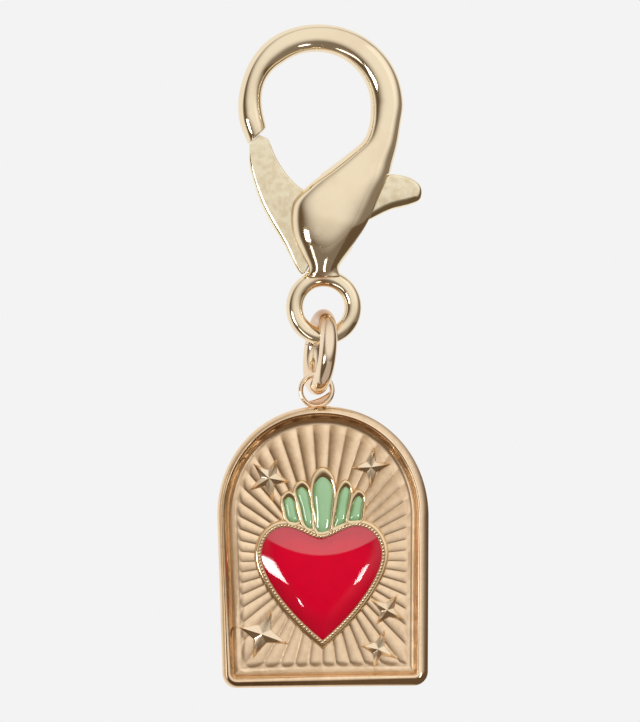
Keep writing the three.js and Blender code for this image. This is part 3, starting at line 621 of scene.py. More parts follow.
steel, place = fresh("drawn_steel")
close(place, {
    "Base Color": place.noise(0.5 * MM, 2.0).above(0.4, 0.7).tint((0.56, 0.56, 0.57), (0.42, 0.41, 0.40)),
    "Metallic": 1.0,
    "Roughness": 0.2 + place.noise(0.05 * MM, 1.0) * 0.2,
})
rivet = solid("rivet", bar(RIVET_DIAMETER, -BODY_DEPTH, BODY_DEPTH, PIVOT))
carve(rivet, solid("cheeks", clasp_sweep()), "INTERSECT")
fit(rivet, mirror_gold, "clasp", ["lever_pin"])
spring = solid("torsion_spring", tube(spring_path(), SPRING_WIRE / 2))
fit(spring, steel, "clasp", ["lever_spring"])


# Jump ring
# A round ring of plated wire through the eye and the bail. Its two ends butt together
# behind, and it hangs nearly edge on to the front.

LINK_WIRE = 2.1 * MM
LINK_TURN = math.radians(13)
LINK_SEAM = math.radians(168)
LINK_SEAM_HALF = math.radians(0.35)
LINK_END_ROUND = 0.06 * MM


def middle(node):
    """The middle of a CAD node's box, as x and z."""
    low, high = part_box(node)
    return np.array([low.x + high.x, low.z + high.z]) / 2


def jump_ring():
    """A circle of wire carried round all but a hair's breadth of the ring, then turned about the vertical and
    leant so that its lowest point is the hinge that the charm swings on."""
    centre = middle("connecting_link")
    down = joint_place("charm_swing") - centre
    radius = np.hypot(*down)
    turn = LINK_SEAM + np.linspace(LINK_SEAM_HALF, 2 * np.pi - LINK_SEAM_HALF, 200)[:, None]
    side = full_circle(44)[None, :]
    reach, depth = radius + LINK_WIRE / 2 * np.cos(side), LINK_WIRE / 2 * np.sin(side)
    rings = np.stack([reach * np.cos(turn), depth + 0 * turn, reach * np.sin(turn)], axis=-1)
    start = rounded_end(rings[0], rings[0] - rings[3], LINK_END_ROUND)
    end = rounded_end(rings[-1], rings[-1] - rings[-4], LINK_END_ROUND)
    rings = np.concatenate([start[::-1], rings[2:-2], end])
    across = rings[..., 0] * math.sin(LINK_TURN) + rings[..., 1] * math.cos(LINK_TURN)
    depth = rings[..., 1] * math.sin(LINK_TURN) - rings[..., 0] * math.cos(LINK_TURN)
    x = (rings[..., 2] * -down[0] - across * down[1]) / radius + centre[0]
    z = (rings[..., 2] * -down[1] + across * down[0]) / radius + centre[1]
    return skin(np.stack([x, depth, z], axis=-1))


ring_gold = gold("ring_gold", (0.95, 0.79, 0.59), (0.88, 0.66, 0.46), 0.11)
link = solid("jump_ring", jump_ring())
# Copper shade and reflection painted on the ring's top, where it runs through the eye.
LINK_TOP = middle("connecting_link") + [0, 4.6 * MM]
LINK_TOP_REACH = 2.8 * MM
with_painted_shade(link, 0.8 * near(link, LINK_TOP, LINK_TOP_REACH))
fit(link, ring_gold, "link", ["connecting_link"])


# Medal
# One casting: a rolled rim with a cove inside it and a plate with a sunburst, each ray a
# broad ridge with a round end. The rim is polished, the plate satin, the back flat.

MEDAL_HALF_WIDTH = 12.65 * MM
BAIL_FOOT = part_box("bail")[0].z
BAIL_LET_IN = 0.28 * MM
MEDAL_ASIDE = 0.78 * MM
MEDAL_CENTRE = np.array([middle("bail")[0] + MEDAL_ASIDE, BAIL_FOOT + BAIL_LET_IN - MEDAL_HALF_WIDTH])
MEDAL_TILT = math.radians(0.8)
MEDAL_BACK = 0.82 * MM
MEDAL_FOOT_HALF_WIDTH = 12.3 * MM
MEDAL_FOOT = -20.95 * MM
MEDAL_ARCH_DROP = 0.6 * MM
MEDAL_ARCH_LEAN = 0.06 * MM
MEDAL_ARCH_POWER = 0.971
MEDAL_CORNER = 1.7 * MM
RIM_DEPTH = 2.6 * MM
RIM_SHOULDER = 1.9 * MM
RIM_BEAD = 1.4 * MM
RIM_INNER = 1.95 * MM
RIM_COVE = 0.85 * MM
PLATE_DEPTH = 1.2 * MM
SUN_CENTRE = np.array([-0.19, -5.69]) * MM
RAYS = 49
RAY_FIRST = 85.8
RAY_DEPTH = 0.15 * MM
RAY_END_GAP = 0.12 * MM
RAY_HUB = 2.0 * MM
RAY_FADE = 5.0 * MM
RAY_COLUMNS = 18


def on_medal(x, height, z):
    """Places on the upright medal, with heights over its back, where the tilted medal really hangs."""
    right = x * math.cos(MEDAL_TILT) - z * math.sin(MEDAL_TILT)
    up = x * math.sin(MEDAL_TILT) + z * math.cos(MEDAL_TILT)
    y = MEDAL_BACK - height + 0 * right
    return np.stack([right + MEDAL_CENTRE[0], y, up + MEDAL_CENTRE[1]], axis=-1)


def arch(inset):
    """The medal's outline, all drawn in by the inset: half an oval whose sine and cosine are raised to a
    power just under one, leaning a hair to the left, nearly straight sides and round corners at the foot."""
    corner = max(0.12 * MM, MEDAL_CORNER - inset)
    foot = MEDAL_FOOT_HALF_WIDTH - inset - corner
    low = MEDAL_FOOT + inset + corner
    wide = MEDAL_HALF_WIDTH - inset
    turn = np.linspace(0, np.pi, 300)
    full = np.sign(np.cos(turn)) * np.abs(np.cos(turn)) ** MEDAL_ARCH_POWER
    tall = np.maximum(0, np.sin(turn)) ** MEDAL_ARCH_POWER
    lean = MEDAL_ARCH_LEAN * tall
    lines = [np.stack([wide * full - lean, (wide + MEDAL_ARCH_DROP) * tall - MEDAL_ARCH_DROP], axis=1)]
    for x, start in ((-foot, 180), (foot, 270)):
        lines.append([x, low] + corner * unit(np.radians(np.linspace(start, start + 90, 24))))
    return np.vstack(lines)


def reach_to_arch(angle, inset):
    """How far a ray at each angle runs from the sun's centre to the outline."""
    line = arch(inset)
    line = np.vstack([line, line[:1]])
    steps = np.linspace(0, 1, 100, endpoint=False)[None, :, None]
    fine = (line[:-1, None] * (1 - steps) + line[1:, None] * steps).reshape(-1, 2) - SUN_CENTRE
    turn, reach = np.arctan2(fine[:, 1], fine[:, 0]), np.hypot(fine[:, 0], fine[:, 1])
    order = np.argsort(turn)
    return np.interp(angle, turn[order], reach[order], period=2 * np.pi)


def casting():
    """The medal in polar form round the sun's centre. Rows run from the back round the rim's bead and cove to
    the plate. The bead falls from its crest, which leans to one side as the die left it, by a power of the
    distance, a higher one along the medal's foot. A ray's height is mostly one minus the square of the place
    across it, with a fuller crown mixed in that steepens its flanks. Rays are shallower to the sides and
    round the middle, and their round ends stop short of the cove."""
    across = np.tile(np.sin((np.arange(RAY_COLUMNS) / RAY_COLUMNS - 0.5) * np.pi), RAYS)
    turned = np.repeat(np.arange(RAYS), RAY_COLUMNS) + (across + 1) / 2
    angle = np.radians(RAY_FIRST) - 2 * np.pi * turned / RAYS
    # Inset and height of each row, from the back's rounded edge up the side
    rows = [(0.2 * MM, 0.0), (0.08 * MM, 0.04 * MM), (0.0, 0.16 * MM), (0.0, RIM_SHOULDER * 0.5)]
    low = np.maximum(0, -np.sin(angle)) ** 4
    crest = 0.18 + 0.32 * np.cos(angle) - 0.1 * np.sin(angle) + 0.25 * low
    brink = RIM_INNER + (0.3 * np.cos(angle) - 0.15 * np.sin(angle)) * MM
    for s in -np.cos(np.linspace(0, np.pi, 24)):
        off = np.abs(s - crest) / np.where(s < crest, 1 + crest, 1 - crest)
        side = np.where(s < crest, RIM_SHOULDER, brink)
        rows.append((RIM_BEAD / 2 * (1 + s), RIM_DEPTH - (RIM_DEPTH - side) * off ** (1.6 + 1.2 * low)))
    cove = np.linspace(0, np.pi / 2, 12)[1:]
    drop = brink - PLATE_DEPTH + RAY_DEPTH
    rows += [(RIM_BEAD + RIM_COVE * (1 - math.cos(a)), brink - drop * math.sin(a)) for a in cove]
    rings = [np.stack([reach_to_arch(angle, inset), 0 * angle + height], axis=1) for inset, height in rows]
    end = reach_to_arch(angle, RIM_BEAD + RIM_COVE + RAY_END_GAP)
    for share in np.append(np.linspace(1, 0.9, 16), np.linspace(0.88, 0, 22)):
        reach = RAY_HUB + (end - RAY_HUB) * share
        half = 0.95 * reach * np.pi / RAYS
        past = np.maximum(0, 1 - (end - reach) / half)
        out = np.minimum(1, across**2 + past**2)
        ridge = 0.8 * (1 - out) + 0.2 * (1 - across**6) ** 0.5 * (1 - past**2)
        fade = np.minimum(1, reach / RAY_FADE)
        height = PLATE_DEPTH - RAY_DEPTH * (1 - ridge) * fade * (0.45 + 0.55 * np.abs(np.sin(angle)))
        rings.append(np.stack([reach, height], axis=1))
    rings = np.array([np.stack([0 * angle + RAY_HUB, 0 * angle], axis=1), *rings])
    x = SUN_CENTRE[0] + rings[..., 0] * np.cos(angle)
    z = SUN_CENTRE[1] + rings[..., 0] * np.sin(angle)
    return skin(on_medal(x, rings[..., 1], z)), painted_groove_shade(across, angle, rings)


def painted_groove_shade(across, angle, rings):
    """How much shade is painted at each point: on the plate it thins out over each ray and comes back
    past the next groove, strongest towards the top, and on the rim it lies in the cove and along the left.
    The back and the outer side get none."""
    place = (across + 1) / 2
    clear = smooth_step(0.1, 0.85, place) * (1 - smooth_step(0.92, 1.08, place))
    clear += 1 - smooth_step(-0.08, 0.08, place)
    tone = (1 - clear) * (0.18 + 0.8 * np.maximum(0, np.sin(angle)) ** 1.5)
    inward = (reach_to_arch(angle, 0) - rings[..., 0]) / MM
    bands = 0.95 * smooth_step(0.15, 0.35, inward) - 0.5 * smooth_step(0.7, 0.9, inward)
    bands = bands * np.maximum(0, -np.cos(angle)) ** 0.5
    bands += 0.3 * smooth_step(1.35, 1.7, inward) * (1 - np.maximum(0, np.sin(angle)))
    tone = np.where(inward > (RIM_BEAD + RIM_COVE) / MM, tone[None], bands)
    tone[:6] = 0
    return np.append(tone.ravel(), [0, 0])


def medal_gold(name, pale, deep):
    """Polished where the rim rolls over, satin on the plate, and darker where shade is painted in: in the
    grooves, in the rim's cove and along its left."""
    material, place = fresh(name)
    mottle = place.noise(0.5 * MM, 3.0)
    fine = place.noise(0.07 * MM, 2.0)
    smears = place.noise(3.0 * MM, 2.0).above(0.4, 0.7)
    # Painted shade: in the grooves, in the cove and along the left of the rim.
    painted_shade = place.node("Attribute", {"attribute_name": "painted_shade"}, output=2)
    low = place.part(1).above(MEDAL_BACK - PLATE_DEPTH - 0.8 * MM, MEDAL_BACK - PLATE_DEPTH - 0.3 * MM)
    close(place, {
        "Base Color": (mottle.above(0.35, 0.75) * 0.12 + smears * 0.08 + painted_shade * 0.8).tint(pale, deep),
        "Metallic": 1.0,
        "Roughness": 0.13 + smears * 0.04 + low * (0.15 + mottle * 0.1),
        "Normal": relief(place, low * fine * 0.6 + mottle * (0.05 + low * 0.3), 0.012 * MM),
    })
    return material


warm_gold = medal_gold("warm_gold", (0.94, 0.72, 0.49), (0.42, 0.26, 0.13))
# The medal's painted shade comes with its shape.
medal_shape, painted_shade = casting()
medal = with_painted_shade(solid("medal_casting", medal_shape), painted_shade)
fit(medal, warm_gold, "charm", ["medal"])


# Stars
# Cast in one with the plate: slender stars with a crease along every arm.

# Each star's middle, as x and z, and the angle and length of each of its arms, in degrees and millimetres
STARS = [
    ((-6.41, 4.12), [(66, 2.74), (136, 2.64), (211, 2.96), (278, 3.03), (349, 2.68)]),
    ((5.85, 5.27), [(81, 2.55), (182, 2.41), (269, 2.52), (368, 2.42)]),
    ((-7.51, -14.58), [(67, 3.23), (162, 2.95), (249, 3.19), (339, 3.45)]),
    ((7.53, -11.91), [(55, 2.32), (147, 2.27), (233, 2.24), (330, 2.47)]),
    ((6.38, -16.58), [(70, 2.54), (167, 2.21), (257, 2.33), (334, 2.53)]),
]
STAR_WAIST = 0.37
STAR_BOW = 0.08
STAR_HEIGHT = 0.5 * MM
STAR_ARM_FALL = 0.26 * MM
PLATE_ROOT = PLATE_DEPTH - 0.4 * MM


def rings_on_medal(rows):
    """Rings of points where the medal hangs, from rows of an outline and its height over the back."""
    return np.array([on_medal(line[:, 0], height, line[:, 1]) for line, height in rows])


def star(at, arms):
    """Each arm narrows from a waist to its tip, along edges that bow in a little. The surface is ruled from
    the creases, which fall from the middle to the tips, down to these edges."""
    angle, reach = np.radians([a for a, _ in arms]), np.array([r for _, r in arms]) * MM
    tips = unit(angle) * reach[:, None]
    waists = tips + np.roll(tips, -1, axis=0)
    waists *= STAR_WAIST * reach.mean() / np.linalg.norm(waists, axis=1, keepdims=True)
    t = np.linspace(0, 1, 14, endpoint=False)[:, None]
    bow = STAR_BOW * t * (1 - t)
    edge, crease = [], []
    for i in range(len(arms)):
        before, tip, after = waists[i - 1], tips[i], waists[i]
        edge += [before * (1 - t - bow) + tip * t, tip * (1 - t) + after * (t - bow)]
        crease += [tip * t, tip * (1 - t)]
    edge, crease = np.vstack(edge), np.vstack(crease)
    out = np.linalg.norm(crease, axis=1) / reach.max()
    top = PLATE_DEPTH + STAR_HEIGHT - STAR_ARM_FALL * np.minimum(1, out) ** 1.3
    at = np.array(at) * MM
    rows = [(at + edge, PLATE_ROOT), (at + edge, PLATE_DEPTH + 0.08 * MM)]
    for share in np.linspace(0.94, 0, 6):
        height = top + (PLATE_DEPTH + 0.12 * MM - top) * share
        rows.append((at + crease + (edge - crease) * share, height))
    return skin(rings_on_medal(rows))


star_gold = gold("star_gold", (0.99, 0.82, 0.60), (0.92, 0.72, 0.48), 0.22, 0.003 * MM)
stars = solid("stars", together([star(at, arms) for at, arms in STARS]))
fit(stars, star_gold, "charm")


# Heart bezel
# The wall round the red enamel, cast with the plate: a smooth bevel outside and a milgrain
# row of beads, rolled into its top edge.

HEART_CENTRE = np.array([-0.24, -5.09]) * MM
HEART_HALF_WIDTH = 7.26 * MM
BEZEL_TOP = PLATE_DEPTH + 0.68 * MM
BEZEL_SEAT = BEZEL_TOP - 0.3 * MM
BEAD_PITCH = 0.41 * MM
BEAD_RADIUS = 0.19 * MM
BEAD_HEIGHT = 0.16 * MM
BEAD_LINE = 0.18 * MM
BEAD_SUNK = 0.18 * MM


def walked(line, count, closed=True):
    """The line walked again in equal steps of its own length."""
    line = np.vstack([line, line[:1]]) if closed else line
    along = np.append(0, np.cumsum(np.linalg.norm(np.diff(line, axis=0), axis=1)))
    stops = np.linspace(0, along[-1], count, endpoint=not closed)
    return np.stack([np.interp(stops, along, line[:, k]) for k in (0, 1)], axis=1)


def heart_outline(count):
    """Three cubic curves from the cleft over the lobe to the tip, and the same back on the other side. Here x
    is a share of the half width and z is in millimetres."""
    curves = [
        [(0, 1.98), (0.17, 1.98), (0.36, 3.36), (0.6, 3.36)],
        [(0.6, 3.36), (0.84, 3.36), (1, 1.68), (1, 0)],
        [(1, 0), (1, -2.88), (0.5, -7.44), (0, -10.32)],
    ]
    t = np.linspace(0, 1, 200)[:, None]
    parts = []
    for curve in curves:
        a, b, c, d = (np.array([x * HEART_HALF_WIDTH, z * MM]) for x, z in curve)
        parts.append(a * (1 - t) ** 3 + 3 * b * t * (1 - t) ** 2 + 3 * c * t**2 * (1 - t) + d * t**3)
    half = walked(np.vstack(parts), count // 2 + 1, closed=False)
    return np.vstack([half[:-1], half[:0:-1] * [-1, 1]]) + HEART_CENTRE


def bezel():
    """A smooth wall carried round the heart: up from the enamel, over the seat of the beads, up a small step
    and down a bevel that is a quarter of an ellipse. Shade is painted into the seat between the beads."""
    outline = heart_outline(400)
    bevel = np.linspace(0, np.pi / 2, 8)
    rows = [(-0.02, PLATE_ROOT), (-0.02, BEZEL_SEAT), (0.36, BEZEL_SEAT), (0.38, BEZEL_SEAT + 0.12 * MM)]
    rows += [(0.4 + 0.42 * math.sin(a), BEZEL_SEAT + (0.5 * math.cos(a) - 0.36) * MM) for a in bevel]
    rows += [(0.84, PLATE_ROOT)]
    # Painted shade in the seat of the beads.
    painted_shade = np.repeat([0.6 * (1 <= k <= 3) for k in range(len(rows))], len(outline))
    rows = [(moved_out(outline, reach * MM), height) for reach, height in rows]
    return skin(rings_on_medal(rows), closed=True), painted_shade


def milgrain():
    """One low bead, repeated at equal steps along the wall's top."""
    line = moved_out(heart_outline(900), BEAD_LINE)
    length = np.linalg.norm(np.roll(line, -1, axis=0) - line, axis=1).sum()
    spots = walked(line, round(length / BEAD_PITCH))
    fall = np.linspace(0.25, np.pi - 0.25, 5)[:, None]
    turn = full_circle(10)[None, :]
    reach = BEAD_RADIUS * np.sin(fall)
    height = BEZEL_TOP - BEAD_SUNK + BEAD_HEIGHT * np.cos(fall) + 0 * turn
    right, up = reach * np.cos(turn), reach * np.sin(turn)
    return together([skin(on_medal(x + right, height, z + up)) for x, z in spots])


bezel_gold = gold("bezel_gold", (0.93, 0.75, 0.49), (0.82, 0.62, 0.38), 0.12, 0.004 * MM)
bezel_shape, seat_painted_shade = bezel()
fit(with_painted_shade(solid("heart_bezel", bezel_shape), seat_painted_shade), bezel_gold, "charm")
fit(solid("milgrain_beads", milgrain()), bezel_gold, "charm")


# Heart enamel
# Red glass enamel, laid thick so that it stands in a glossy dome, a little darker towards its edge
# against the wall, with a reflection band painted into its coat over the top.

ENAMEL_FOOT = 1.0 * MM


def membrane(outline, places):
    """How high a soap film over the outline stands at each place, from 0 at the edge to 1 at its highest:
    minus a quarter of the distance squared, plus logarithms of the distances to sources outside the outline,
    weighted so that the sum is nought along the edge."""
    size = np.ptp(outline, axis=0).max()
    edge, covered = outline / size, places / size
    sources = moved_out(walked(edge, 150), 0.09)
    centre = edge.mean(axis=0)

    def film(at):
        """The logarithms and a constant, each still without its weight, and the square."""
        away = np.linalg.norm(at[:, None] - sources[None], axis=2)
        return np.hstack([np.log(away), np.ones((len(at), 1))]), -((at - centre) ** 2).sum(axis=1) / 4

    logs, square = film(edge)
    weights = np.linalg.lstsq(logs, -square, rcond=1e-9)[0]
    logs, square = film(covered)
    height = logs @ weights + square
    return np.clip(height / height.max(), 0, 1)


def pillow(outline, centre, edge_height, rise, fullness):
    """Enamel in its cell: rings from the edge to the centre. Their height over the edge is one minus a power
    of what the film lacks there, so that the edge falls steeply and the top lies flat."""
    spread = np.sin(np.linspace(np.pi / 2, 0, 44)[:-1])
    lines = centre + (outline - centre) * spread[:, None, None]
    film = membrane(outline, lines.reshape(-1, 2)).reshape(lines.shape[:2])
    height = edge_height + rise * (1 - (1 - film) ** fullness)
    lines = np.concatenate([outline[None], lines])
    height = np.concatenate([np.full((1, len(outline)), ENAMEL_FOOT), height])
    return skin(on_medal(lines[..., 0], height, lines[..., 1]))


def enamel(name, shallow, deep, cover, skim):
    """Fired glass: the colour goes from the shallow to the deep one up between the two heights of cover, with
    faint clouds in it, under a clear coat with the slight waviness of a surface that flowed. The coat is
    thickest above a line that rises to both sides of the place skim as the square of the distance, but for
    the steep edge: a painted reflection band fixed to the piece, where the coat mirrors the lit room."""
    material, place = fresh(name)
    clouds = place.noise(1.6 * MM, 2.0)
    dots = place.noise(0.25 * MM, 0.0).above(0.78, 0.82)
    depth = place.part(1).above(MEDAL_BACK - cover[0], MEDAL_BACK - cover[1])
    facing = place.node("LayerWeight", {}, {"Blend": 0.5}, output=1)
    skimmed, edge = facing.above(0.025, 0.05), facing.above(0.12, 0.3)
    off = place.part(0) - float(skim[0])
    line = float(skim[1]) + off * off * (0.046 / MM)
    # Painted reflection: the coat is laid on thick only above this line.
    painted_reflection_band = (place.part(2) - line).above(0, 0.25 * MM) * (1 - edge * 0.8)
    close(place, {
        "Base Color": (depth * 0.75 + clouds.above(0.4, 0.7) * 0.2 + dots * 0.1).tint(deep, shallow),
        "Roughness": 0.4 + clouds * 0.05,
        "Specular IOR Level": 0.0,
        "Coat Weight": (skimmed * 0.25).or_more(painted_reflection_band * 0.96) + 0.02,
        "Coat Roughness": 0.05,
        "Coat IOR": 2.0,
        "Normal": relief(place, clouds, 0.004 * MM),
    })
    return material


skim = MEDAL_CENTRE + HEART_CENTRE - [0, 0.2 * MM]
red_enamel = enamel("red_enamel", (0.47, 0.002, 0.020), (0.64, 0.002, 0.024), (2.4 * MM, 1.7 * MM), skim)
HEART_EDGE = 1.6 * MM
HEART_RISE = 1.09 * MM
HEART_FULLNESS = 1.3
HEART_GAP = 0.05 * MM
heart = moved_out(heart_outline(420), -HEART_GAP)
heart_shape = pillow(heart, HEART_CENTRE - [0, 1.0 * MM], HEART_EDGE, HEART_RISE, HEART_FULLNESS)
fills = [fit(solid("heart_enamel_fill", heart_shape), red_enamel, "charm", ["heart_enamel"])]


# Flames
# Five cells cast on the plate over the heart, each with a wall that rises to a crest over
# its top, filled with pale green enamel.

# For each flame how much its crown widens the wall, and the points of its outline, in millimetres
FLAMES = {
    "flame_centre": (0.75, [[0.02, 4.33], [0.95, 3.7], [1.31, 2.4], [1.1, 0], [0.78, -2.0], [-0.1, -3.0],
                            [-0.9, -2.0], [-1.05, 0], [-1.2, 2.4], [-0.85, 3.7]]),
    "flame_left_inner": (0.4, [[-2.5, 3.12], [-1.8, 2.55], [-1.4, 0.7], [-1.08, -1.3], [-1.5, -2.1],
                               [-2.2, -1.6], [-2.75, 0.6], [-3.2, 2.5]]),
    "flame_left_outer": (0.35, [[-4.1, 1.95], [-3.45, 1.5], [-3.1, -0.1], [-2.9, -1.1], [-3.7, -1.35],
                                [-4.3, -0.9], [-4.6, 0.3], [-4.75, 1.35]]),
    "flame_right_inner": (0.4, [[2.75, 3.1], [3.3, 2.6], [3.05, 0.7], [2.7, -1.2], [2.0, -1.75],
                                [1.3, -2.0], [1.6, 0.4], [2.1, 2.45]]),
    "flame_right_outer": (0.35, [[4.3, 1.95], [4.85, 1.5], [4.75, 0.3], [4.5, -1.0], [3.8, -1.3],
                                 [3.05, -1.1], [3.35, 0.3], [3.7, 1.4]]),
}
FLAME_DRAWN_IN = 0.14 * MM
FLAME_WALL = 0.5 * MM
FLAME_EDGE = PLATE_DEPTH + 0.34 * MM
FLAME_RISE = 0.22 * MM
FLAME_FULLNESS = 1.8
FLAME_GAP = 0.03 * MM
UNDER_BEZEL = 0.5 * MM


def inside(outline, places):
    """Whether each place is inside the outline: its rays to the right cross the outline an odd number of
    times."""
    x, z = places[:, 0:1], places[:, 1:2]
    ends = np.roll(outline, -1, axis=0)
    spans = (outline[:, 1] > z) != (ends[:, 1] > z)
    rise = np.where(ends[:, 1] == outline[:, 1], 1e-12, ends[:, 1] - outline[:, 1])
    crossing = outline[:, 0] + (z - outline[:, 1]) / rise * (ends[:, 0] - outline[:, 0])
    return (spans & (crossing > x)).sum(axis=1) % 2 == 1


def flame_outline(points, count=180):
    """The smooth loop through the points, with what would lie under the heart's bezel drawn back to it."""
    loop = walked(smooth_line(np.array(points) * MM, 600, closed=True), 600)
    loop = moved_out(loop, -FLAME_DRAWN_IN)
    stop = moved_out(heart_outline(900), UNDER_BEZEL)
    hidden = inside(stop, loop)
    nearest = np.linalg.norm(loop[hidden][:, None] - stop[None], axis=2).argmin(axis=1)
    loop[hidden] = stop[nearest]
    return walked(loop, count)


def flame_wall(outline, crown):
    """The wall rises by a sine from the fill to a crest at 0.7 of its width, and falls by a cosine to the
    plate outside. It is widest where the outline faces up, by the crown."""
    wide = FLAME_WALL + crown * MM * np.maximum(0, outward(outline)[:, 1]) ** 2
    rows = [(-0.04, PLATE_ROOT), (-0.04, PLATE_DEPTH + 0.3 * MM)]
    for a in np.linspace(0, np.pi / 2, 6):
        rows.append((0.7 * a / (np.pi / 2), FLAME_EDGE + 0.2 * MM * math.sin(a)))
    for a in np.linspace(0.25, 1.5, 6):
        rows.append((0.7 + 0.3 * math.sin(a), PLATE_DEPTH + 0.54 * MM * math.cos(a)))
    rows.append((1.0, PLATE_ROOT))
    rows = [(moved_out(outline, wide * share), height) for share, height in rows]
    return skin(rings_on_medal(rows), closed=True)


skim = MEDAL_CENTRE - [0, 20 * MM]
green_enamel = enamel("green_enamel", (0.22, 0.42, 0.19), (0.28, 0.50, 0.25), (1.76 * MM, 1.5 * MM), skim)
walls = []
for name, (crown, points) in FLAMES.items():
    outline = flame_outline(points)
    walls.append(flame_wall(outline, crown))
    fill = moved_out(outline, -FLAME_GAP)
    fill_shape = pillow(fill, fill.mean(axis=0), FLAME_EDGE, FLAME_RISE, FLAME_FULLNESS)
    fills.append(fit(solid(name + "_fill", fill_shape), green_enamel, "charm", [name]))
fit(solid("flame_walls", together(walls)), bezel_gold, "charm")


# Bail
# A thin wire ring, let into the top of the rim and soldered there with a small fillet.

BAIL_CENTRE = middle("bail")
BAIL_RADIUS = 1.89 * MM
BAIL_WIRE = 0.62 * MM
bail = solid("bail_ring", wire_ring(BAIL_CENTRE, BAIL_RADIUS, BAIL_WIRE, 120, 28))
fit(bail, ring_gold, "charm", ["bail"])

FILLET_CENTRE = BAIL_CENTRE + np.array([0.18, -2.1]) * MM
FILLET_HALF_HEIGHT = 0.5 * MM
FILLET_RADIUS = 0.42 * MM
FILLET_TAPER = 0.14 * MM


def fillet():
    """The solder has run into a low saddle: an egg shape, wider at its foot and wider across than deep."""
    fall = np.linspace(0.2, np.pi - 0.2, 18)[:, None]
    turn = full_circle(32)[None, :]
    reach = np.sin(fall) * (FILLET_RADIUS - FILLET_TAPER * np.cos(fall))
    x = FILLET_CENTRE[0] + reach * np.cos(turn) * 1.35
    z = FILLET_CENTRE[1] + FILLET_HALF_HEIGHT * np.cos(fall) + 0 * turn
    return skin(np.stack([x, reach * np.sin(turn) * 0.95, z], axis=-1))


WEB_DEGREES = (228, 362)
WEB_BOW = np.array([0.5, -0.9]) * MM
WEB_HALF_DEPTH = 0.3 * MM
WEB_ROUND = 0.22 * MM


def web():
    """Braze that has run up the ring's right foot: an arc of the ring and a front bowed towards it, swelling
    to both faces by the sine of a quarter turn while it draws in by one minus the cosine."""
    arc = unit(np.radians(np.linspace(*WEB_DEGREES, 40))) * (BAIL_RADIUS - 0.1 * MM)
    back = np.linspace(1, 0, 24)[1:-1, None]
    top = arc[0] * (1 - back) + arc[-1] * back + WEB_BOW * back * (1 - back)
    line = np.vstack([arc, top]) + BAIL_CENTRE
    turn = np.linspace(-np.pi / 2, np.pi / 2, 13)
    outlines = [moved_out(line, -WEB_ROUND * (1 - np.cos(a))) for a in turn]
    return layered(outlines, WEB_HALF_DEPTH * np.sin(turn))


solder = gold("solder", (0.82, 0.54, 0.35), (0.68, 0.40, 0.22), 0.22)
fit(solid("bail_solder", fillet()), solder, "charm")
fit(solid("bail_web", web()), solder, "charm")


# Room
# A pale floor under the hanging charm that fades out into a pale surround, and soft boxes
# round it.

FLOOR_HEIGHT = -0.12
FLOOR_RADIUS = 0.42


def floor():
    """A round floor in rings about its middle, low enough to stay out of the front view."""
    turn = full_circle(96)[None, :]
    reach = np.linspace(0.001, FLOOR_RADIUS, 20)[:, None]
    rings = np.stack([reach * np.cos(turn), reach * np.sin(turn), 0 * reach * turn + FLOOR_HEIGHT], axis=-1)
    rows, columns = rings.shape[:2]
    first = np.arange(columns)
    hub = 0 * first + rows * columns
    fan = np.stack([first, np.roll(first, -1), hub, hub], axis=-1)
    points = np.vstack([rings.reshape(-1, 3), [[0, 0, FLOOR_HEIGHT]]])
    return points, np.vstack([between_rings(rows, columns)[:, ::-1], fan])


ground = solid("floor", floor())
pale, place = fresh("pale_floor")
reach = place.node("VectorMath", {"operation": "LENGTH"}, {0: place}, output=1)
paper = place.node("BsdfDiffuse", {}, {"Color": (0.86, 0.86, 0.86, 1.0)})
clear = place.node("BsdfTransparent")
fading = place.node("MixShader", {}, {0: reach.above(0.2, 0.4), 1: paper, 2: clear})
place.node("OutputMaterial", {}, {"Surface": fading})
ground.data.materials.append(pale)
ground.visible_glossy = False

world = bpy.data.worlds.new("studio")
bpy.context.scene.world = world
world.use_nodes = True
world.node_tree.nodes.clear()
sky = Socket(world.node_tree, None)
towards = sky.node("TexCoord", output=0)
side, ahead, up = (towards.part(axis) for axis in range(3))
KEY = Vector((0.27, -0.72, 0.64))
key = (side * KEY.x + ahead * KEY.y + up * KEY.z).above(0.26, 0.82)
backdrop = (ahead - side * 0.5 + up * 0.1).above(-0.02, 0.38)
DIM_ROOM = (0.13, 0.09, 0.055)
LIT_ROOM = (0.92, 0.90, 0.88)
SURROUND = (0.896, 0.896, 0.896, 1.0)
room = key.or_more(backdrop).tint(DIM_ROOM, LIT_ROOM)
glow = sky.node("Background", {}, {"Color": room, "Strength": 1.0})
plain = sky.node("Background", {}, {"Color": SURROUND, "Strength": 1.0})
seen = sky.node("LightPath", output=0)
both = sky.node("MixShader", {}, {0: seen, 1: glow, 2: plain})
sky.node("OutputWorld", {}, {"Surface": both})

AIM = Vector((0.0005, 0.0, -0.04))
LAMP_DISTANCE = 0.5


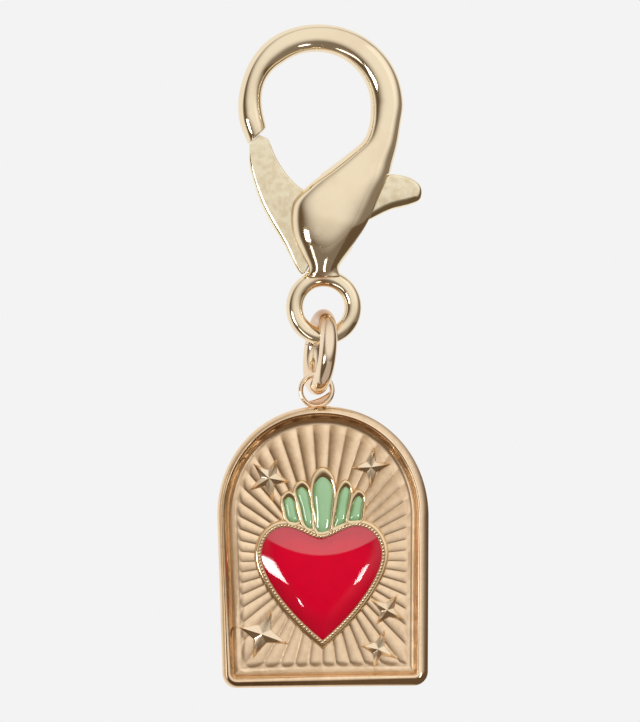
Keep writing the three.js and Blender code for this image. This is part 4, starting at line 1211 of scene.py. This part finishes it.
def soft_box(name, azimuth, elevation, wide, high, power, mirrored=True, only_on=(), not_on=()):
    """A lit panel that faces the charm from an azimuth, 0 in front and 90 on the right, and an elevation. It
    is either a window that shows in the polish or a fill that doesn't. Given pieces, it shows only in them,
    or in all but them, as a lamp does that is flagged off from the rest."""
    light = bpy.data.lights.new(name, "AREA")
    light.shape = "RECTANGLE"
    light.size = wide
    light.size_y = high
    light.energy = power
    box = bpy.data.objects.new(name, light)
    turn, rise = math.radians(azimuth), math.radians(elevation)
    away = Vector((math.sin(turn) * math.cos(rise), -math.cos(turn) * math.cos(rise), math.sin(rise)))
    box.location = AIM + away * LAMP_DISTANCE
    box.rotation_mode = "QUATERNION"
    box.rotation_quaternion = away.to_track_quat("Z", "Y")
    box.visible_camera = False
    box.visible_glossy = mirrored
    box.visible_diffuse = not mirrored
    bpy.context.collection.objects.link(box)
    if only_on or not_on:
        lit = bpy.data.collections.new(name + "_shows_in")
        for piece in (*only_on, *not_on):
            lit.objects.link(piece)
        for row in lit.collection_objects:
            row.light_linking.link_state = "EXCLUDE" if not_on else "INCLUDE"
        box.light_linking.receiver_collection = lit


# Azimuth and elevation in degrees, width and height in metres, and watts
soft_box("fill", 5, 45, 0.6, 0.5, 1.2, mirrored=False)
soft_box("left_window", -38, -11, 0.13, 0.12, 0.45, not_on=[medal])
soft_box("left_lamp", -37, -13, 0.13, 0.125, 1.5, only_on=fills[:1])
soft_box("low_lamp", -27, -29, 0.025, 0.03, 0.08, only_on=fills[:1])
soft_box("right_lamp", 30, -14, 0.05, 0.09, 0.5, only_on=fills)
soft_box("cone_lamp", -34, -38, 0.07, 0.26, 0.15, only_on=[clasp_body])
soft_box("tip_lamp", 12, -44, 0.06, 0.1, 0.08, only_on=[clasp_body])
soft_box("ring_lamp", 40, -60, 0.7, 0.7, 0.6, only_on=[link])
soft_box("under_lamp", 10, -62, 0.8, 0.8, 0.2, only_on=[clasp_body])
soft_box("rim_lamp", 42, -24, 0.12, 0.2, 0.24, only_on=[medal])
soft_box("front_lamp", 2, 4, 0.5, 0.5, 0.17, only_on=[medal])
soft_box("side_lamp", -68, -5, 0.15, 0.4, 0.35, only_on=[medal])
soft_box("hook_lamp", 80, 15, 0.8, 0.8, 0.25, only_on=[clasp_body])

camera = bpy.data.objects.new("camera", bpy.data.cameras.new("camera"))
PIXEL = 0.12 * MM
PHOTO_HEIGHT = 722 * PIXEL
PHOTO_MIDDLE = (4 * PIXEL, -309 * PIXEL)
CAMERA_DISTANCE = 0.6
camera.location = (PHOTO_MIDDLE[0], -CAMERA_DISTANCE, PHOTO_MIDDLE[1])
camera.rotation_euler = (math.pi / 2, 0, 0)
camera.data.sensor_width = 36
camera.data.lens = camera.data.sensor_width * CAMERA_DISTANCE / PHOTO_HEIGHT
camera.data.clip_start = 0.01
bpy.context.collection.objects.link(camera)
bpy.context.scene.camera = camera
bpy.context.scene.view_settings.view_transform = "Standard"
